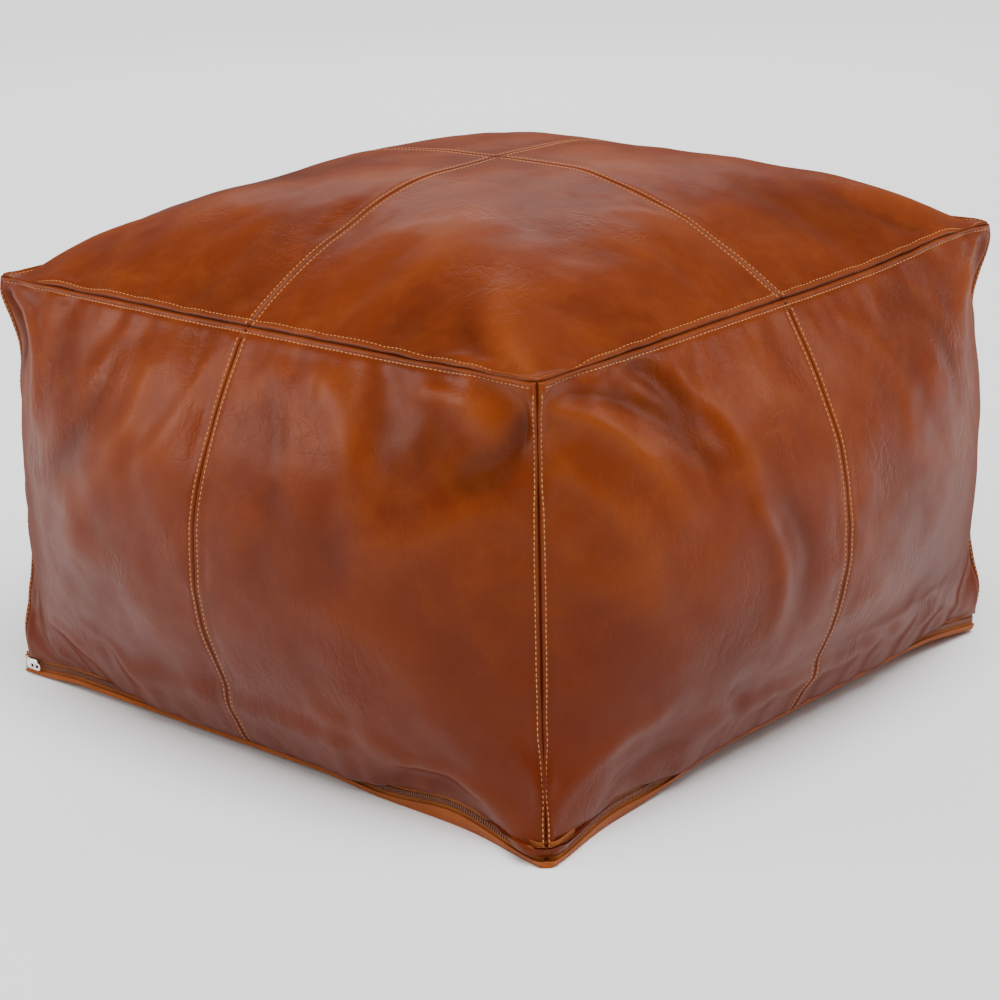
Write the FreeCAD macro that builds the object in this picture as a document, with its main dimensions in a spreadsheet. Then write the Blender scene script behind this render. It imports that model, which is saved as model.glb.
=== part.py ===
import FreeCAD
import Part
import Sketcher

import math
import os

Vector = FreeCAD.Vector
Rotation = FreeCAD.Rotation
Placement = FreeCAD.Placement

# Driving dimensions in millimetres, with angles in degrees. The pouf stands on Z = 0 with its centre on the
# Z axis. Its front side faces -Y. The base flap is hinged along the left side, which faces -X.
SIZES = {
    "side_length": 600,        # corner seam to corner seam
    "edge_height": 360,        # floor to top edge seam
    "side_bulge": 58,          # how far the middle of a side stands out from the line between its corners
    "top_crown": 68,           # how far the middle of the top stands above its edge seam
    "leather_thickness": 1.8,
    "base_thickness": 1.4,
    "base_rim_height": 5,      # the base panel's turned-up edge
    "corner_radius": 12,       # plan radius of the base and the zip at the corners
    "hinge_bead_radius": 1.2,  # rolled hem that the base flap turns on
    "flap_end_gap": 3,         # base rim and lower tape stop this far from the left side
    "seam_clearance": 0.3,
    "panel_foot": 15.6,        # floor to the side panels' lower edge
    "tape_thickness": 0.8,
    "tape_lap": 3.5,           # tape hidden behind the side panels
    "tape_foot": 2,            # floor to the lower tape's edge
    "coil_thickness": 2.6,
    "coil_height": 1.9,        # height of one row of the coil
    "coil_gap": 1.3,           # slit between the two rows, which the slider's divider runs in
    "zip_height": 10.3,        # floor to the middle of the zip
    "slider_length": 15,
    "slider_height": 9.6,
    "slider_outer_plate": 1.8,
    "slider_inner_plate": 1.3,
    "slider_clearance": 0.2,
    "slider_corner_radius": 2.2,
    "tape_slot": 1.4,
    "divider_length": 4,
    "divider_thickness": 0.9,
    "slider_end_gap": 4.5,     # left corner to the parked slider
    "arch_length": 5.2,
    "arch_width": 2.4,
    "arch_depth": 3,
    "pull_axis_height": 1.3,   # pull's crossbar above the slider's outer plate
    "crossbar_radius": 0.9,
    "crossbar_clearance": 0.2,
    "pull_length": 13,
    "pull_width": 7,
    "pull_thickness": 1.4,
    "pull_window_length": 4.4,
    "pull_window_width": 3.2,
    "pull_slot_length": 4,
    "pull_slot_width": 2.6,
    "stop_length": 1.8,
    "stop_height": 1.9,
    "stop_thickness": 2.8,
    "stop_end_gap": 0.4,
    "thread_radius": 0.45,
    "thread_clearance": 0.35,
    "thread_end_gap": 8,
    "cross_centre_gap": 6,     # the cross seam's rows stop this far from the middle of the top
    "edge_seam_inset": 4.8,    # topstitch rows beside the edge and corner seams
    "cross_seam_inset": 4,     # topstitch rows beside the cross seam and the middle seams
    "coil_start_gap": 1,       # parked slider to the lower coil's first turn
    "pull_end_radius": 2.8,
    "pull_tip_margin": 2,      # pull's tip to its slot
    "cut_overrun": 1,          # cuts run this far past the face that they open
    "insert_clearance": 1,     # slider's inner plate to the cotton bag
    "insert_top_gap": 4,
    "insert_bulge": 54,
    "insert_crown": 66,
    "insert_rest_gap": 0.3,
    "cotton_thickness": 1,
    "filling_clearance": 1.2,
}

HALF = "Sizes.side_length / 2"
FOOT = "Sizes.panel_foot"
TOP = "Sizes.edge_height"
LEATHER = "Sizes.leather_thickness"
BAG_TOP = f"({TOP} - Sizes.insert_top_gap)"
BAG_FLOOR = "(Sizes.base_thickness + Sizes.insert_rest_gap)"
COTTON = "Sizes.cotton_thickness"
ZIP = "Sizes.zip_height"
CHAIN_HALF = "(Sizes.coil_gap / 2 + Sizes.coil_height)"
TAPE_FACE = f"({HALF} - {LEATHER})"
ZIP_PLANE = f"({TAPE_FACE} - Sizes.tape_thickness / 2)"
CHANNEL_HALF = "(Sizes.coil_thickness / 2 + Sizes.slider_clearance)"
SLIDER_FACE = f"({ZIP_PLANE} + {CHANNEL_HALF} + Sizes.slider_outer_plate)"
SLIDER_BACK = f"({ZIP_PLANE} - {CHANNEL_HALF} - Sizes.slider_inner_plate)"
BAG_HALF = f"({SLIDER_BACK} - Sizes.insert_clearance)"
SLIDER_START = f"(-{HALF} + Sizes.slider_end_gap)"
SLIDER_END = f"({SLIDER_START} + Sizes.slider_length)"
SLIDER_MIDDLE = f"({SLIDER_START} + Sizes.slider_length / 2)"
PULL_AXIS = f"({SLIDER_FACE} + Sizes.pull_axis_height)"
BEAD_X = f"(-{HALF} + Sizes.hinge_bead_radius)"

SIDES = ("front", "right", "back", "left")
LOFT_STATIONS = (1.0, 0.5, 0.0)

doc = FreeCAD.newDocument("Pouf")
sheet = doc.addObject("Spreadsheet::Sheet", "Sizes")
nodes = []

BEZIER_LIFT = 4  # a square face's middle rises by a quarter of its centre pole's rise


def fill_sheet():
    """Writes each driving dimension to a cell whose alias is its name."""
    for row, (name, value) in enumerate(SIZES.items(), start=1):
        sheet.set(f"A{row}", name.replace("_", " "))
        sheet.set(f"B{row}", str(value))
        sheet.setAlias(f"B{row}", name)
    doc.recompute()


def value_of(expression):
    """The number that an expression of the sheet's cells gives."""
    return float(sheet.evalExpression(expression))


def new_body(name):
    body = doc.addObject("PartDesign::Body", name)
    body.Label = name
    body.AllowCompound = True
    nodes.append(body)
    return body


def origin_item(body, role):
    return [item for item in body.Origin.OriginFeatures if item.Role == role][0]


def new_sketch(body, name, plane_role, offset=None):
    """An empty sketch on one of the body's own origin planes, moved along its normal by offset."""
    sketch = body.newObject("Sketcher::SketchObject", name)
    sketch.AttachmentSupport = (origin_item(body, plane_role), "")
    sketch.MapMode = "FlatFace"
    if offset is not None:
        sketch.setExpression("AttachmentOffset.Base.z", offset)
    return sketch


def bind(sketch, constraint, expression):
    index = sketch.addConstraint(constraint)
    sketch.setExpression(f"Constraints[{index}]", expression)


def pin_point(sketch, edge, end, across, up):
    """Binds one end of an edge to two distances from the sketch's origin."""
    bind(sketch, Sketcher.Constraint("DistanceX", edge, end, value_of(across)), across)
    bind(sketch, Sketcher.Constraint("DistanceY", edge, end, value_of(up)), up)


def draw_polygon(sketch, corners):
    """A closed outline through corners, each given as two expressions."""
    points = [Vector(value_of(across), value_of(up), 0) for across, up in corners]
    count = len(points)
    first = sketch.GeometryCount
    for index in range(count):
        sketch.addGeometry(Part.LineSegment(points[index], points[(index + 1) % count]))
    for index in range(count):
        edge = first + index
        following = first + (index + 1) % count
        sketch.addConstraint(Sketcher.Constraint("Coincident", edge, 2, following, 1))
        pin_point(sketch, edge, 1, *corners[index])


def draw_box(sketch, left, right, low, high):
    draw_polygon(sketch, ((left, low), (right, low), (right, high), (left, high)))


def draw_circle(sketch, across, up, radius):
    centre = Vector(value_of(across), value_of(up), 0)
    edge = sketch.addGeometry(Part.Circle(centre, Vector(0, 0, 1), value_of(radius)))
    pin_point(sketch, edge, 3, across, up)
    bind(sketch, Sketcher.Constraint("Radius", edge, value_of(radius)), radius)


def minor_arc(centre, first, second):
    """The shorter arc about centre between two points, turning anticlockwise."""
    angles = [math.atan2(point.y - centre.y, point.x - centre.x) for point in (first, second)]
    if (angles[1] - angles[0]) % (2 * math.pi) > math.pi:
        angles.reverse()
    radius = first.distanceToPoint(centre)
    return Part.ArcOfCircle(Part.Circle(centre, Vector(0, 0, 1), radius), *angles)


def to_point(pair):
    return Vector(value_of(pair[0]), value_of(pair[1]), 0)


def moved(pair, step):
    return tuple(f"{place} + {move}" for place, move in zip(pair, step))


def draw_strip(sketch, start, finish, depth, centre=None, radius=None):
    """A thin strip between two ends. Its inner line is its outer one moved by depth.

    Both lines are arcs about a centre if one is given."""
    corners = (start, finish, moved(finish, depth), moved(start, depth))
    points = [to_point(corner) for corner in corners]
    sketch.addGeometry(Part.LineSegment(points[3], points[0]))
    sketch.addGeometry(Part.LineSegment(points[1], points[2]))
    pin_point(sketch, 0, 2, *corners[0])
    pin_point(sketch, 0, 1, *corners[3])
    pin_point(sketch, 1, 1, *corners[1])
    pin_point(sketch, 1, 2, *corners[2])
    ends = ((points[0], (0, 2), points[1], (1, 1)), (points[3], (0, 1), points[2], (1, 2)))
    for index, (first, first_join, second, second_join) in enumerate(ends):
        if centre is None:
            edge = sketch.addGeometry(Part.LineSegment(first, second))
        else:
            middle = centre if index == 0 else moved(centre, depth)
            edge = sketch.addGeometry(minor_arc(to_point(middle), first, second))
        start_gap = sketch.getPoint(edge, 1).distanceToPoint(first)
        end_gap = sketch.getPoint(edge, 2).distanceToPoint(first)
        near = 1 if start_gap < end_gap else 2
        sketch.addConstraint(Sketcher.Constraint("Coincident", edge, near, *first_join))
        sketch.addConstraint(Sketcher.Constraint("Coincident", edge, 3 - near, *second_join))
        if centre is not None:
            bind(sketch, Sketcher.Constraint("Radius", edge, value_of(radius)), radius)


def arc_radius(half_chord, rise):
    """Radius of an arc from half its chord and its rise."""
    return f"(({half_chord} * {half_chord} + {rise} * {rise}) / (2 * {rise}))"


def loft_strips(body, sketches):
    loft = body.newObject("PartDesign::AdditiveLoft", body.Name + "_loft")
    loft.Profile = (sketches[0], [""])
    loft.Sections = [(sketch, [""]) for sketch in sketches[1:]]
    body.Tip = loft


def rise_at(full_rise, station):
    """Rise of a section at a share of the way from the middle seam to the corner."""
    return f"({full_rise} * {1 - station * station})"


def side_sheet(name, places, face, rise, thickness, low, high, turn):
    """A bulged sheet of one side: a loft through upright sections, turned about Z to its own side.

    Each place is the section's distance from the middle seam and its share of the way to the corner."""
    body = new_body(name)
    sketches = []
    for number, (distance, station) in enumerate(places):
        sketch = new_sketch(body, f"{name}_section_{number}", "YZ_Plane", distance)
        start = (f"-{face}", low)
        finish = (f"-{face}", high)
        if station == 1:
            draw_strip(sketch, start, finish, (thickness, "0"))
        else:
            section_rise = rise_at(rise, station)
            radius = arc_radius(f"(({high} - {low}) / 2)", section_rise)
            centre = (f"{radius} - {face} - {section_rise}", f"({low} + {high}) / 2")
            draw_strip(sketch, start, finish, (thickness, "0"), centre, radius)
        sketches.append(sketch)
    loft_strips(body, sketches)
    body.Placement = Placement(Vector(), Rotation(Vector(0, 0, 1), turn))


def top_quarter(name, across_sign, depth_sign):
    """A quarter of the top: a loft from the side edge to the cross seam, where it lies level."""
    body = new_body(name)
    sketches = []
    for number, station in enumerate(LOFT_STATIONS):
        place = f"{across_sign} * {HALF} * {station}"
        sketch = new_sketch(body, f"{name}_section_{number}", "YZ_Plane", place)
        edge = (f"{depth_sign} * {HALF}", TOP)
        if station == 1:
            draw_strip(sketch, edge, ("0", TOP), ("0", LEATHER))
        else:
            rise = rise_at("Sizes.top_crown", station)
            radius = arc_radius(f"({HALF})", rise)
            summit = ("0", f"{TOP} + {rise}")
            centre = ("0", f"{TOP} + {rise} - {radius}")
            draw_strip(sketch, edge, summit, ("0", LEATHER), centre, radius)
        sketches.append(sketch)
    loft_strips(body, sketches)


def pad(body, sketch, length, midplane=False):
    feature = body.newObject("PartDesign::Pad", sketch.Name + "_pad")
    feature.Profile = (sketch, [""])
    feature.setExpression("Length", length)
    feature.Midplane = midplane
    body.Tip = feature
    return feature


def cut_through(body, sketch):
    """Cuts the sketch's shape away on both sides of its plane."""
    feature = body.newObject("PartDesign::Pocket", sketch.Name + "_cut")
    feature.Profile = (sketch, [""])
    feature.Type = "ThroughAll"
    feature.Midplane = True
    body.Tip = feature
    return feature


def draw_rounded_end(sketch, left, reach, radius):
    """A plan outline, square at its left end, with its two right corners rounded."""
    start = value_of(left)
    far = value_of(reach)
    bend = value_of(radius)
    corners = (
        (start, -far),
        (far - bend, -far),
        (far, bend - far),
        (far, far - bend),
        (far - bend, far),
        (start, far),
    )
    points = [Vector(across, up, 0) for across, up in corners]
    diagonal = bend * 0.5 ** 0.5
    middle = far - bend
    sketch.addGeometry(Part.LineSegment(points[0], points[1]))
    sketch.addGeometry(Part.Arc(points[1], Vector(middle + diagonal, -middle - diagonal, 0), points[2]))
    sketch.addGeometry(Part.LineSegment(points[2], points[3]))
    sketch.addGeometry(Part.Arc(points[3], Vector(middle + diagonal, middle + diagonal, 0), points[4]))
    sketch.addGeometry(Part.LineSegment(points[4], points[5]))
    sketch.addGeometry(Part.LineSegment(points[5], points[0]))
    for edge in (0, 1, 2, 3):
        sketch.addConstraint(Sketcher.Constraint("Tangent", edge, 2, edge + 1, 1))
    sketch.addConstraint(Sketcher.Constraint("Coincident", 4, 2, 5, 1))
    sketch.addConstraint(Sketcher.Constraint("Coincident", 5, 2, 0, 1))
    sketch.addConstraint(Sketcher.Constraint("Horizontal", 0))
    sketch.addConstraint(Sketcher.Constraint("Horizontal", 4))
    sketch.addConstraint(Sketcher.Constraint("Vertical", 2))
    pin_point(sketch, 5, 2, left, f"-({reach})")
    pin_point(sketch, 5, 1, left, reach)
    bind(sketch, Sketcher.Constraint("DistanceX", 2, 1, far), reach)
    bind(sketch, Sketcher.Constraint("Radius", 1, bend), radius)
    bind(sketch, Sketcher.Constraint("Radius", 3, bend), radius)


def band(name, foot, height, left, reach, thickness):
    """A thin upright band round the front, right and back sides, open at the left."""
    body = new_body(name)
    inset = f"({HALF} - ({reach}))"
    radius = f"(Sizes.corner_radius - {inset})"
    outline = new_sketch(body, name + "_outline", "XY_Plane", foot)
    draw_rounded_end(outline, left, reach, radius)
    pad(body, outline, height)
    inside = new_sketch(body, name + "_inside", "XY_Plane", foot)
    inner_left = f"{left} - Sizes.corner_radius"
    draw_rounded_end(inside, inner_left, f"({reach}) - {thickness}", f"{radius} - {thickness}")
    cut_through(body, inside)
    return body


def make_side_panels():
    """Two leather panels to a side. Each side's far end stops short, where the next side laps it."""
    for number, side in enumerate(SIDES):
        following = SIDES[(number + 1) % 4]
        before = SIDES[(number - 1) % 4]
        for end, toward, far in ((-1, before, HALF), (1, following, TAPE_FACE)):
            places = [(f"{end} * {far} * {station}", station) for station in LOFT_STATIONS]
            name = f"{side}_panel_{toward}"
            side_sheet(name, places, f"({HALF})", "Sizes.side_bulge", LEATHER, FOOT, TOP, 90 * number)


def make_top_panels():
    for across_sign, across in ((-1, "left"), (1, "right")):
        for depth_sign, depth in ((-1, "front"), (1, "back")):
            top_quarter(f"top_panel_{depth}_{across}", across_sign, depth_sign)


def make_base_panel():
    """Flat base with a rim turned up on three sides and a rolled hem along the hinge."""
    body = new_body("base_panel")
    outline = new_sketch(body, "base_outline", "XY_Plane")
    draw_rounded_end(outline, BEAD_X, HALF, "Sizes.corner_radius")
    pad(body, outline, "Sizes.base_thickness")
    hem = new_sketch(body, "base_hem", "XZ_Plane")
    draw_circle(hem, BEAD_X, "Sizes.hinge_bead_radius", "Sizes.hinge_bead_radius")
    pad(body, hem, "Sizes.side_length", midplane=True)
    left = f"(-{HALF} + Sizes.flap_end_gap)"
    rim = new_sketch(body, "rim_outline", "XY_Plane")
    draw_rounded_end(rim, left, HALF, "Sizes.corner_radius")
    pad(body, rim, "Sizes.base_rim_height")
    inside = new_sketch(body, "rim_inside", "XY_Plane", "Sizes.base_thickness")
    thickness = "Sizes.base_thickness"
    reach = f"({HALF} - {thickness})"
    inner_left = f"{left} - Sizes.corner_radius / 2"
    draw_rounded_end(inside, inner_left, reach, f"Sizes.corner_radius - {thickness}")
    hollow = body.newObject("PartDesign::Pocket", "rim_hollow")
    hollow.Profile = (inside, [""])
    hollow.Reversed = True
    hollow.setExpression("Length", "Sizes.base_rim_height")
    body.Tip = hollow


def make_hinge_band():
    """Leather band on the left side, between the hinge and the side panels."""
    body = new_body("hinge_band")
    outline = new_sketch(body, "hinge_band_outline", "XZ_Plane")
    foot = "(2 * Sizes.hinge_bead_radius + Sizes.seam_clearance)"
    draw_box(outline, f"-{HALF}", f"-{TAPE_FACE}", foot, FOOT)
    pad(body, outline, f"2 * {TAPE_FACE}", midplane=True)


def make_zip():
    start = f"(-{HALF} + Sizes.flap_end_gap)"
    upper_end = f"({TAPE_FACE} * -1)"
    thickness = "Sizes.tape_thickness"
    lower_top = f"({ZIP} - {CHAIN_HALF})"
    upper_foot = f"({ZIP} + {CHAIN_HALF})"
    band("lower_zip_tape", "Sizes.tape_foot", f"{lower_top} - Sizes.tape_foot", start, TAPE_FACE, thickness)
    upper_height = f"{FOOT} + Sizes.tape_lap - {upper_foot}"
    band("upper_zip_tape", upper_foot, upper_height, upper_end, TAPE_FACE, thickness)
    coil_reach = f"({ZIP_PLANE} + Sizes.coil_thickness / 2)"
    coil = "Sizes.coil_thickness"
    coil_height = "Sizes.coil_height"
    lower_start = f"({SLIDER_END} + Sizes.coil_start_gap)"
    band("lower_zip_coil", lower_top, coil_height, lower_start, coil_reach, coil)
    band("upper_zip_coil", f"{upper_foot} - {coil_height}", coil_height, SLIDER_START, coil_reach, coil)


def make_slider():
    """Two plates joined by a divider at the left end.

    Flanges hold the coil and an arch holds the pull."""
    body = new_body("zip_slider")
    low = f"({ZIP} - Sizes.slider_height / 2)"
    high = f"({ZIP} + Sizes.slider_height / 2)"
    outline = new_sketch(body, "slider_outline", "XZ_Plane", SLIDER_BACK)
    draw_box(outline, SLIDER_START, SLIDER_END, low, high)
    block = pad(body, outline, f"{SLIDER_FACE} - {SLIDER_BACK}")
    doc.recompute()
    rounding = body.newObject("PartDesign::Fillet", "slider_rounding")
    rounding.Base = (block, upright_edges(block.Shape))
    rounding.setExpression("Radius", "Sizes.slider_corner_radius")
    body.Tip = rounding
    doc.recompute()
    web = "Sizes.divider_thickness / 2"
    channel = f"({CHAIN_HALF} + Sizes.slider_clearance)"
    slot = "Sizes.tape_slot / 2"
    for sign, word in ((1, "upper"), (-1, "lower")):
        sketch = new_sketch(body, f"slider_{word}_channel", "YZ_Plane")
        profile = (
            (CHANNEL_HALF, web), (CHANNEL_HALF, channel), (slot, channel), (slot, "Sizes.slider_height"),
            (f"-{slot}", "Sizes.slider_height"), (f"-{slot}", channel), (f"-{CHANNEL_HALF}", channel),
            (f"-{CHANNEL_HALF}", web),
        )
        corners = [(f"-{ZIP_PLANE} + {deep}", f"{ZIP} + {sign} * ({up})") for deep, up in profile]
        draw_polygon(sketch, corners)
        cut_through(body, sketch)
    opening = new_sketch(body, "slider_throat", "XZ_Plane", f"{ZIP_PLANE} - {CHANNEL_HALF}")
    throat_start = f"{SLIDER_START} + Sizes.divider_length"
    throat_end = f"{SLIDER_END} + Sizes.cut_overrun"
    draw_box(opening, throat_start, throat_end, f"{ZIP} - {channel}", f"{ZIP} + {channel}")
    throat = body.newObject("PartDesign::Pocket", "slider_throat_cut")
    throat.Profile = (opening, [""])
    throat.Reversed = True
    throat.setExpression("Length", f"2 * {CHANNEL_HALF}")
    body.Tip = throat
    arch = new_sketch(body, "slider_arch", "XZ_Plane", SLIDER_FACE)
    half_length = "Sizes.arch_length / 2"
    half_width = "Sizes.arch_width / 2"
    draw_box(arch, f"{SLIDER_MIDDLE} - {half_length}", f"{SLIDER_MIDDLE} + {half_length}",
             f"{ZIP} - {half_width}", f"{ZIP} + {half_width}")
    pad(body, arch, "Sizes.arch_depth")
    bore = new_sketch(body, "slider_bore", "XY_Plane", ZIP)
    draw_circle(bore, SLIDER_MIDDLE, f"-{PULL_AXIS}", "Sizes.crossbar_radius + Sizes.crossbar_clearance")
    cut_through(body, bore)


def upright_edges(shape):
    """Names of the edges of a block that run along Y."""
    names = []
    for number, edge in enumerate(shape.Edges, start=1):
        along = edge.lastVertex().Point - edge.firstVertex().Point
        if abs(along.y) > abs(along.x) + abs(along.z):
            names.append(f"Edge{number}")
    return names


def make_pull():
    """Flat tab with a window for the slider's arch and a round crossbar through it."""
    body = new_body("zip_pull")
    half = "Sizes.pull_width / 2"
    outline = new_sketch(body, "pull_outline", "XZ_Plane", PULL_AXIS)
    tip = f"{SLIDER_MIDDLE} + Sizes.pull_length"
    draw_box(outline, SLIDER_MIDDLE, tip, f"{ZIP} - {half}", f"{ZIP} + {half}")
    tab = pad(body, outline, "Sizes.pull_thickness", midplane=True)
    doc.recompute()
    rounding = body.newObject("PartDesign::Fillet", "pull_rounding")
    near_tip = value_of(f"{tip} - Sizes.cut_overrun")
    upright = upright_edges(tab.Shape)
    edges = [name for name in upright if tab.Shape.getElement(name).CenterOfMass.x > near_tip]
    rounding.Base = (tab, edges)
    rounding.setExpression("Radius", "Sizes.pull_end_radius")
    body.Tip = rounding
    window = new_sketch(body, "pull_window", "XZ_Plane", PULL_AXIS)
    window_half = "Sizes.pull_window_width / 2"
    window_start = f"{SLIDER_MIDDLE} - Sizes.cut_overrun"
    window_end = f"{SLIDER_MIDDLE} + Sizes.pull_window_length"
    draw_box(window, window_start, window_end, f"{ZIP} - {window_half}", f"{ZIP} + {window_half}")
    cut_through(body, window)
    slot = new_sketch(body, "pull_slot", "XZ_Plane", PULL_AXIS)
    slot_half = "Sizes.pull_slot_width / 2"
    slot_end = f"{tip} - Sizes.pull_tip_margin"
    slot_start = f"{slot_end} - Sizes.pull_slot_length"
    draw_box(slot, slot_start, slot_end, f"{ZIP} - {slot_half}", f"{ZIP} + {slot_half}")
    cut_through(body, slot)
    bar = new_sketch(body, "pull_crossbar", "XY_Plane", ZIP)
    draw_circle(bar, SLIDER_MIDDLE, f"-{PULL_AXIS}", "Sizes.crossbar_radius")
    pad(body, bar, "Sizes.pull_width", midplane=True)


def make_stop(name, side_sign):
    """A clip round the edge of the upper tape at one end of the zip."""
    body = new_body(name)
    foot = f"({ZIP} + {CHAIN_HALF} + Sizes.stop_end_gap)"
    middle = f"{side_sign} * {ZIP_PLANE}"
    half = "Sizes.stop_thickness / 2"
    start = f"(-{TAPE_FACE} + Sizes.stop_end_gap)"
    outline = new_sketch(body, name + "_outline", "YZ_Plane", start)
    draw_box(outline, f"{middle} - {half}", f"{middle} + {half}", foot, f"{foot} + Sizes.stop_height")
    pad(body, outline, "Sizes.stop_length")
    slot = new_sketch(body, name + "_slot", "YZ_Plane", start)
    slot_half = "Sizes.tape_thickness / 2"
    slot_foot = f"{foot} - Sizes.cut_overrun"
    slot_top = f"{foot} + Sizes.panel_foot"
    draw_box(slot, f"{middle} - {slot_half}", f"{middle} + {slot_half}", slot_foot, slot_top)
    cut_through(body, slot)


def arc_height(half_chord, rise, inset):
    """Height of an arc above its chord, at a distance inset from the chord's end."""
    radius = f"({arc_radius(half_chord, rise)})"
    place = f"({half_chord} - {inset})"
    return f"(sqrt({radius} * {radius} - {place} * {place}) - ({radius} - {rise}))"


def place_thread(body, word, plane_role, beside, arc, side_row, level=None):
    """A sketch whose origin is an arc's centre, holding the thread's round section on that arc.

    arc holds the distance from the pouf's centre to the chord, half the chord and the rise. beside is the
    row's distance along the axis that the arc bends about. A side row stands out towards -Y, others up."""
    chord_place, half_chord, rise = arc
    sketch = new_sketch(body, f"{body.Name}_{word}", plane_role, level)
    radius = arc_radius(half_chord, rise)
    centre = f"({chord_place} + {rise} - {radius})"
    reach = f"({radius} + Sizes.thread_radius + Sizes.thread_clearance)"
    if side_row == "upright axis":
        sketch.setExpression("AttachmentOffset.Base.x", f"-{centre}")
        draw_circle(sketch, f"-{reach}", beside, "Sizes.thread_radius")
    elif side_row == "level axis":
        sketch.setExpression("AttachmentOffset.Base.y", f"-{centre}")
        draw_circle(sketch, beside, f"-{reach}", "Sizes.thread_radius")
    else:
        sketch.setExpression("AttachmentOffset.Base.y", centre)
        draw_circle(sketch, beside, reach, "Sizes.thread_radius")
    return sketch


def turn_thread(body, sketch, angle, axis="H_Axis", both_ways=True):
    """Sweeps a thread's section about its arc's centre."""
    row = body.newObject("PartDesign::Revolution", f"{sketch.Name}_row")
    row.Profile = (sketch, [""])
    row.ReferenceAxis = (sketch, [axis])
    row.Midplane = both_ways
    row.setExpression("Angle", angle)
    body.Tip = row
    return row


def arc_angle(arc, inset):
    """Angle from the middle of an arc to the point that stops short of its chord's end by inset."""
    radius = arc_radius(arc[1], arc[2])
    return f"asin(({arc[1]} - {inset}) / {radius})"


def full_row(body, word, plane_role, beside, arc, side_row=None, level=None):
    sketch = place_thread(body, word, plane_role, beside, arc, side_row, level)
    axis = "V_Axis" if side_row == "upright axis" else "H_Axis"
    return turn_thread(body, sketch, f"2 * {arc_angle(arc, 'Sizes.thread_end_gap')}", axis)


def half_row(body, word, plane_role, beside, arc):
    """A row from near the middle of the arc to its end."""
    sketch = place_thread(body, word, plane_role, beside, arc, None)
    near = arc_angle(arc, f"({arc[1]} - Sizes.cross_centre_gap)")
    offset = sketch.AttachmentOffset
    offset.Rotation = Rotation(Vector(1, 0, 0), value_of(near))
    sketch.AttachmentOffset = offset
    sketch.setExpression("AttachmentOffset.Rotation.Angle", near)
    return turn_thread(body, sketch, f"{arc_angle(arc, 'Sizes.thread_end_gap')} - {near}", both_ways=False)


def repeat_rows(body, rows, mirrored):
    """Mirrors the rows left to right if asked, then turns them to all four sides."""
    steps = []
    group = body.newObject("PartDesign::MultiTransform", body.Name + "_repeat")
    if mirrored:
        mirror = body.newObject("PartDesign::Mirrored", body.Name + "_mirror")
        mirror.MirrorPlane = (origin_item(body, "YZ_Plane"), [""])
        steps.append(mirror)
    polar = body.newObject("PartDesign::PolarPattern", body.Name + "_turns")
    polar.Axis = (origin_item(body, "Z_Axis"), [""])
    polar.Angle = 360
    polar.Occurrences = len(SIDES)
    steps.append(polar)
    group.Originals = rows
    group.Transformations = steps
    body.Tip = group


def make_stitching():
    side_middle = f"({FOOT} + {TOP}) / 2"
    side_chord = f"(({TOP} - {FOOT}) / 2)"
    top_face = f"({TOP} + {LEATHER})"
    half = f"({HALF})"
    edge_inset = "Sizes.edge_seam_inset"
    cross_inset = "Sizes.cross_seam_inset"
    crown = "Sizes.top_crown"
    bulge = "Sizes.side_bulge"

    cross = new_body("top_cross_stitching")
    row = half_row(cross, "row", "XZ_Plane", cross_inset, (top_face, half, crown))
    repeat_rows(cross, [row], True)

    middle = new_body("side_middle_stitching")
    arc = (half, side_chord, bulge)
    row = full_row(middle, "row", "XY_Plane", cross_inset, arc, "level axis", side_middle)
    repeat_rows(middle, [row], True)

    corner = new_body("corner_stitching")
    corner_rise = f"({bulge} * (1 - (1 - {edge_inset} / {half}) * (1 - {edge_inset} / {half})))"
    arc = (half, side_chord, corner_rise)
    row = full_row(corner, "row", "XY_Plane", f"{half} - {edge_inset}", arc, "level axis", side_middle)
    repeat_rows(corner, [row], True)

    edge = new_body("top_edge_stitching")
    arc = (top_face, half, arc_height(half, crown, edge_inset))
    row = full_row(edge, "upper", "YZ_Plane", f"{edge_inset} - {half}", arc)
    repeat_rows(edge, [row], False)

    rim = new_body("top_rim_stitching")
    arc = (half, half, arc_height(side_chord, bulge, edge_inset))
    row = full_row(rim, "lower", "YZ_Plane", f"({TOP} - {edge_inset})", arc, "upright axis")
    repeat_rows(rim, [row], False)

    hem = new_body("base_hem_stitching")
    line = new_sketch(hem, "base_hem_thread", "XZ_Plane")
    out = f"-({half} + Sizes.thread_radius + Sizes.thread_clearance)"
    draw_circle(line, out, f"{FOOT} - {edge_inset}", "Sizes.thread_radius")
    pad(hem, line, f"2 * ({half} - Sizes.thread_end_gap)", midplane=True)


def make_insert():
    """Cotton bag: a shallow tray, four side panels on it and a top panel, with the filling inside."""
    tray = new_body("insert_bottom_panel")
    outline = new_sketch(tray, "tray_outline", "XY_Plane", BAG_FLOOR)
    draw_box(outline, f"-{BAG_HALF}", BAG_HALF, f"-{BAG_HALF}", BAG_HALF)
    pad(tray, outline, f"{FOOT} - {BAG_FLOOR}")
    inside = new_sketch(tray, "tray_inside", "XY_Plane", f"{BAG_FLOOR} + {COTTON}")
    inner = f"({BAG_HALF} - {COTTON})"
    draw_box(inside, f"-{inner}", inner, f"-{inner}", inner)
    hollow = tray.newObject("PartDesign::Pocket", "tray_hollow")
    hollow.Profile = (inside, [""])
    hollow.Type = "ThroughAll"
    hollow.Reversed = True
    tray.Tip = hollow
    places = [(f"-{BAG_HALF} * {station}", station) for station in LOFT_STATIONS]
    places += [(f"{inner} * {station}", station) for station in LOFT_STATIONS[-2::-1]]
    for number, side in enumerate(SIDES):
        name = f"insert_{side}_panel"
        side_sheet(name, places, BAG_HALF, "Sizes.insert_bulge", COTTON, FOOT, BAG_TOP, 90 * number)
    insert_top()
    make_filling()


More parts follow.
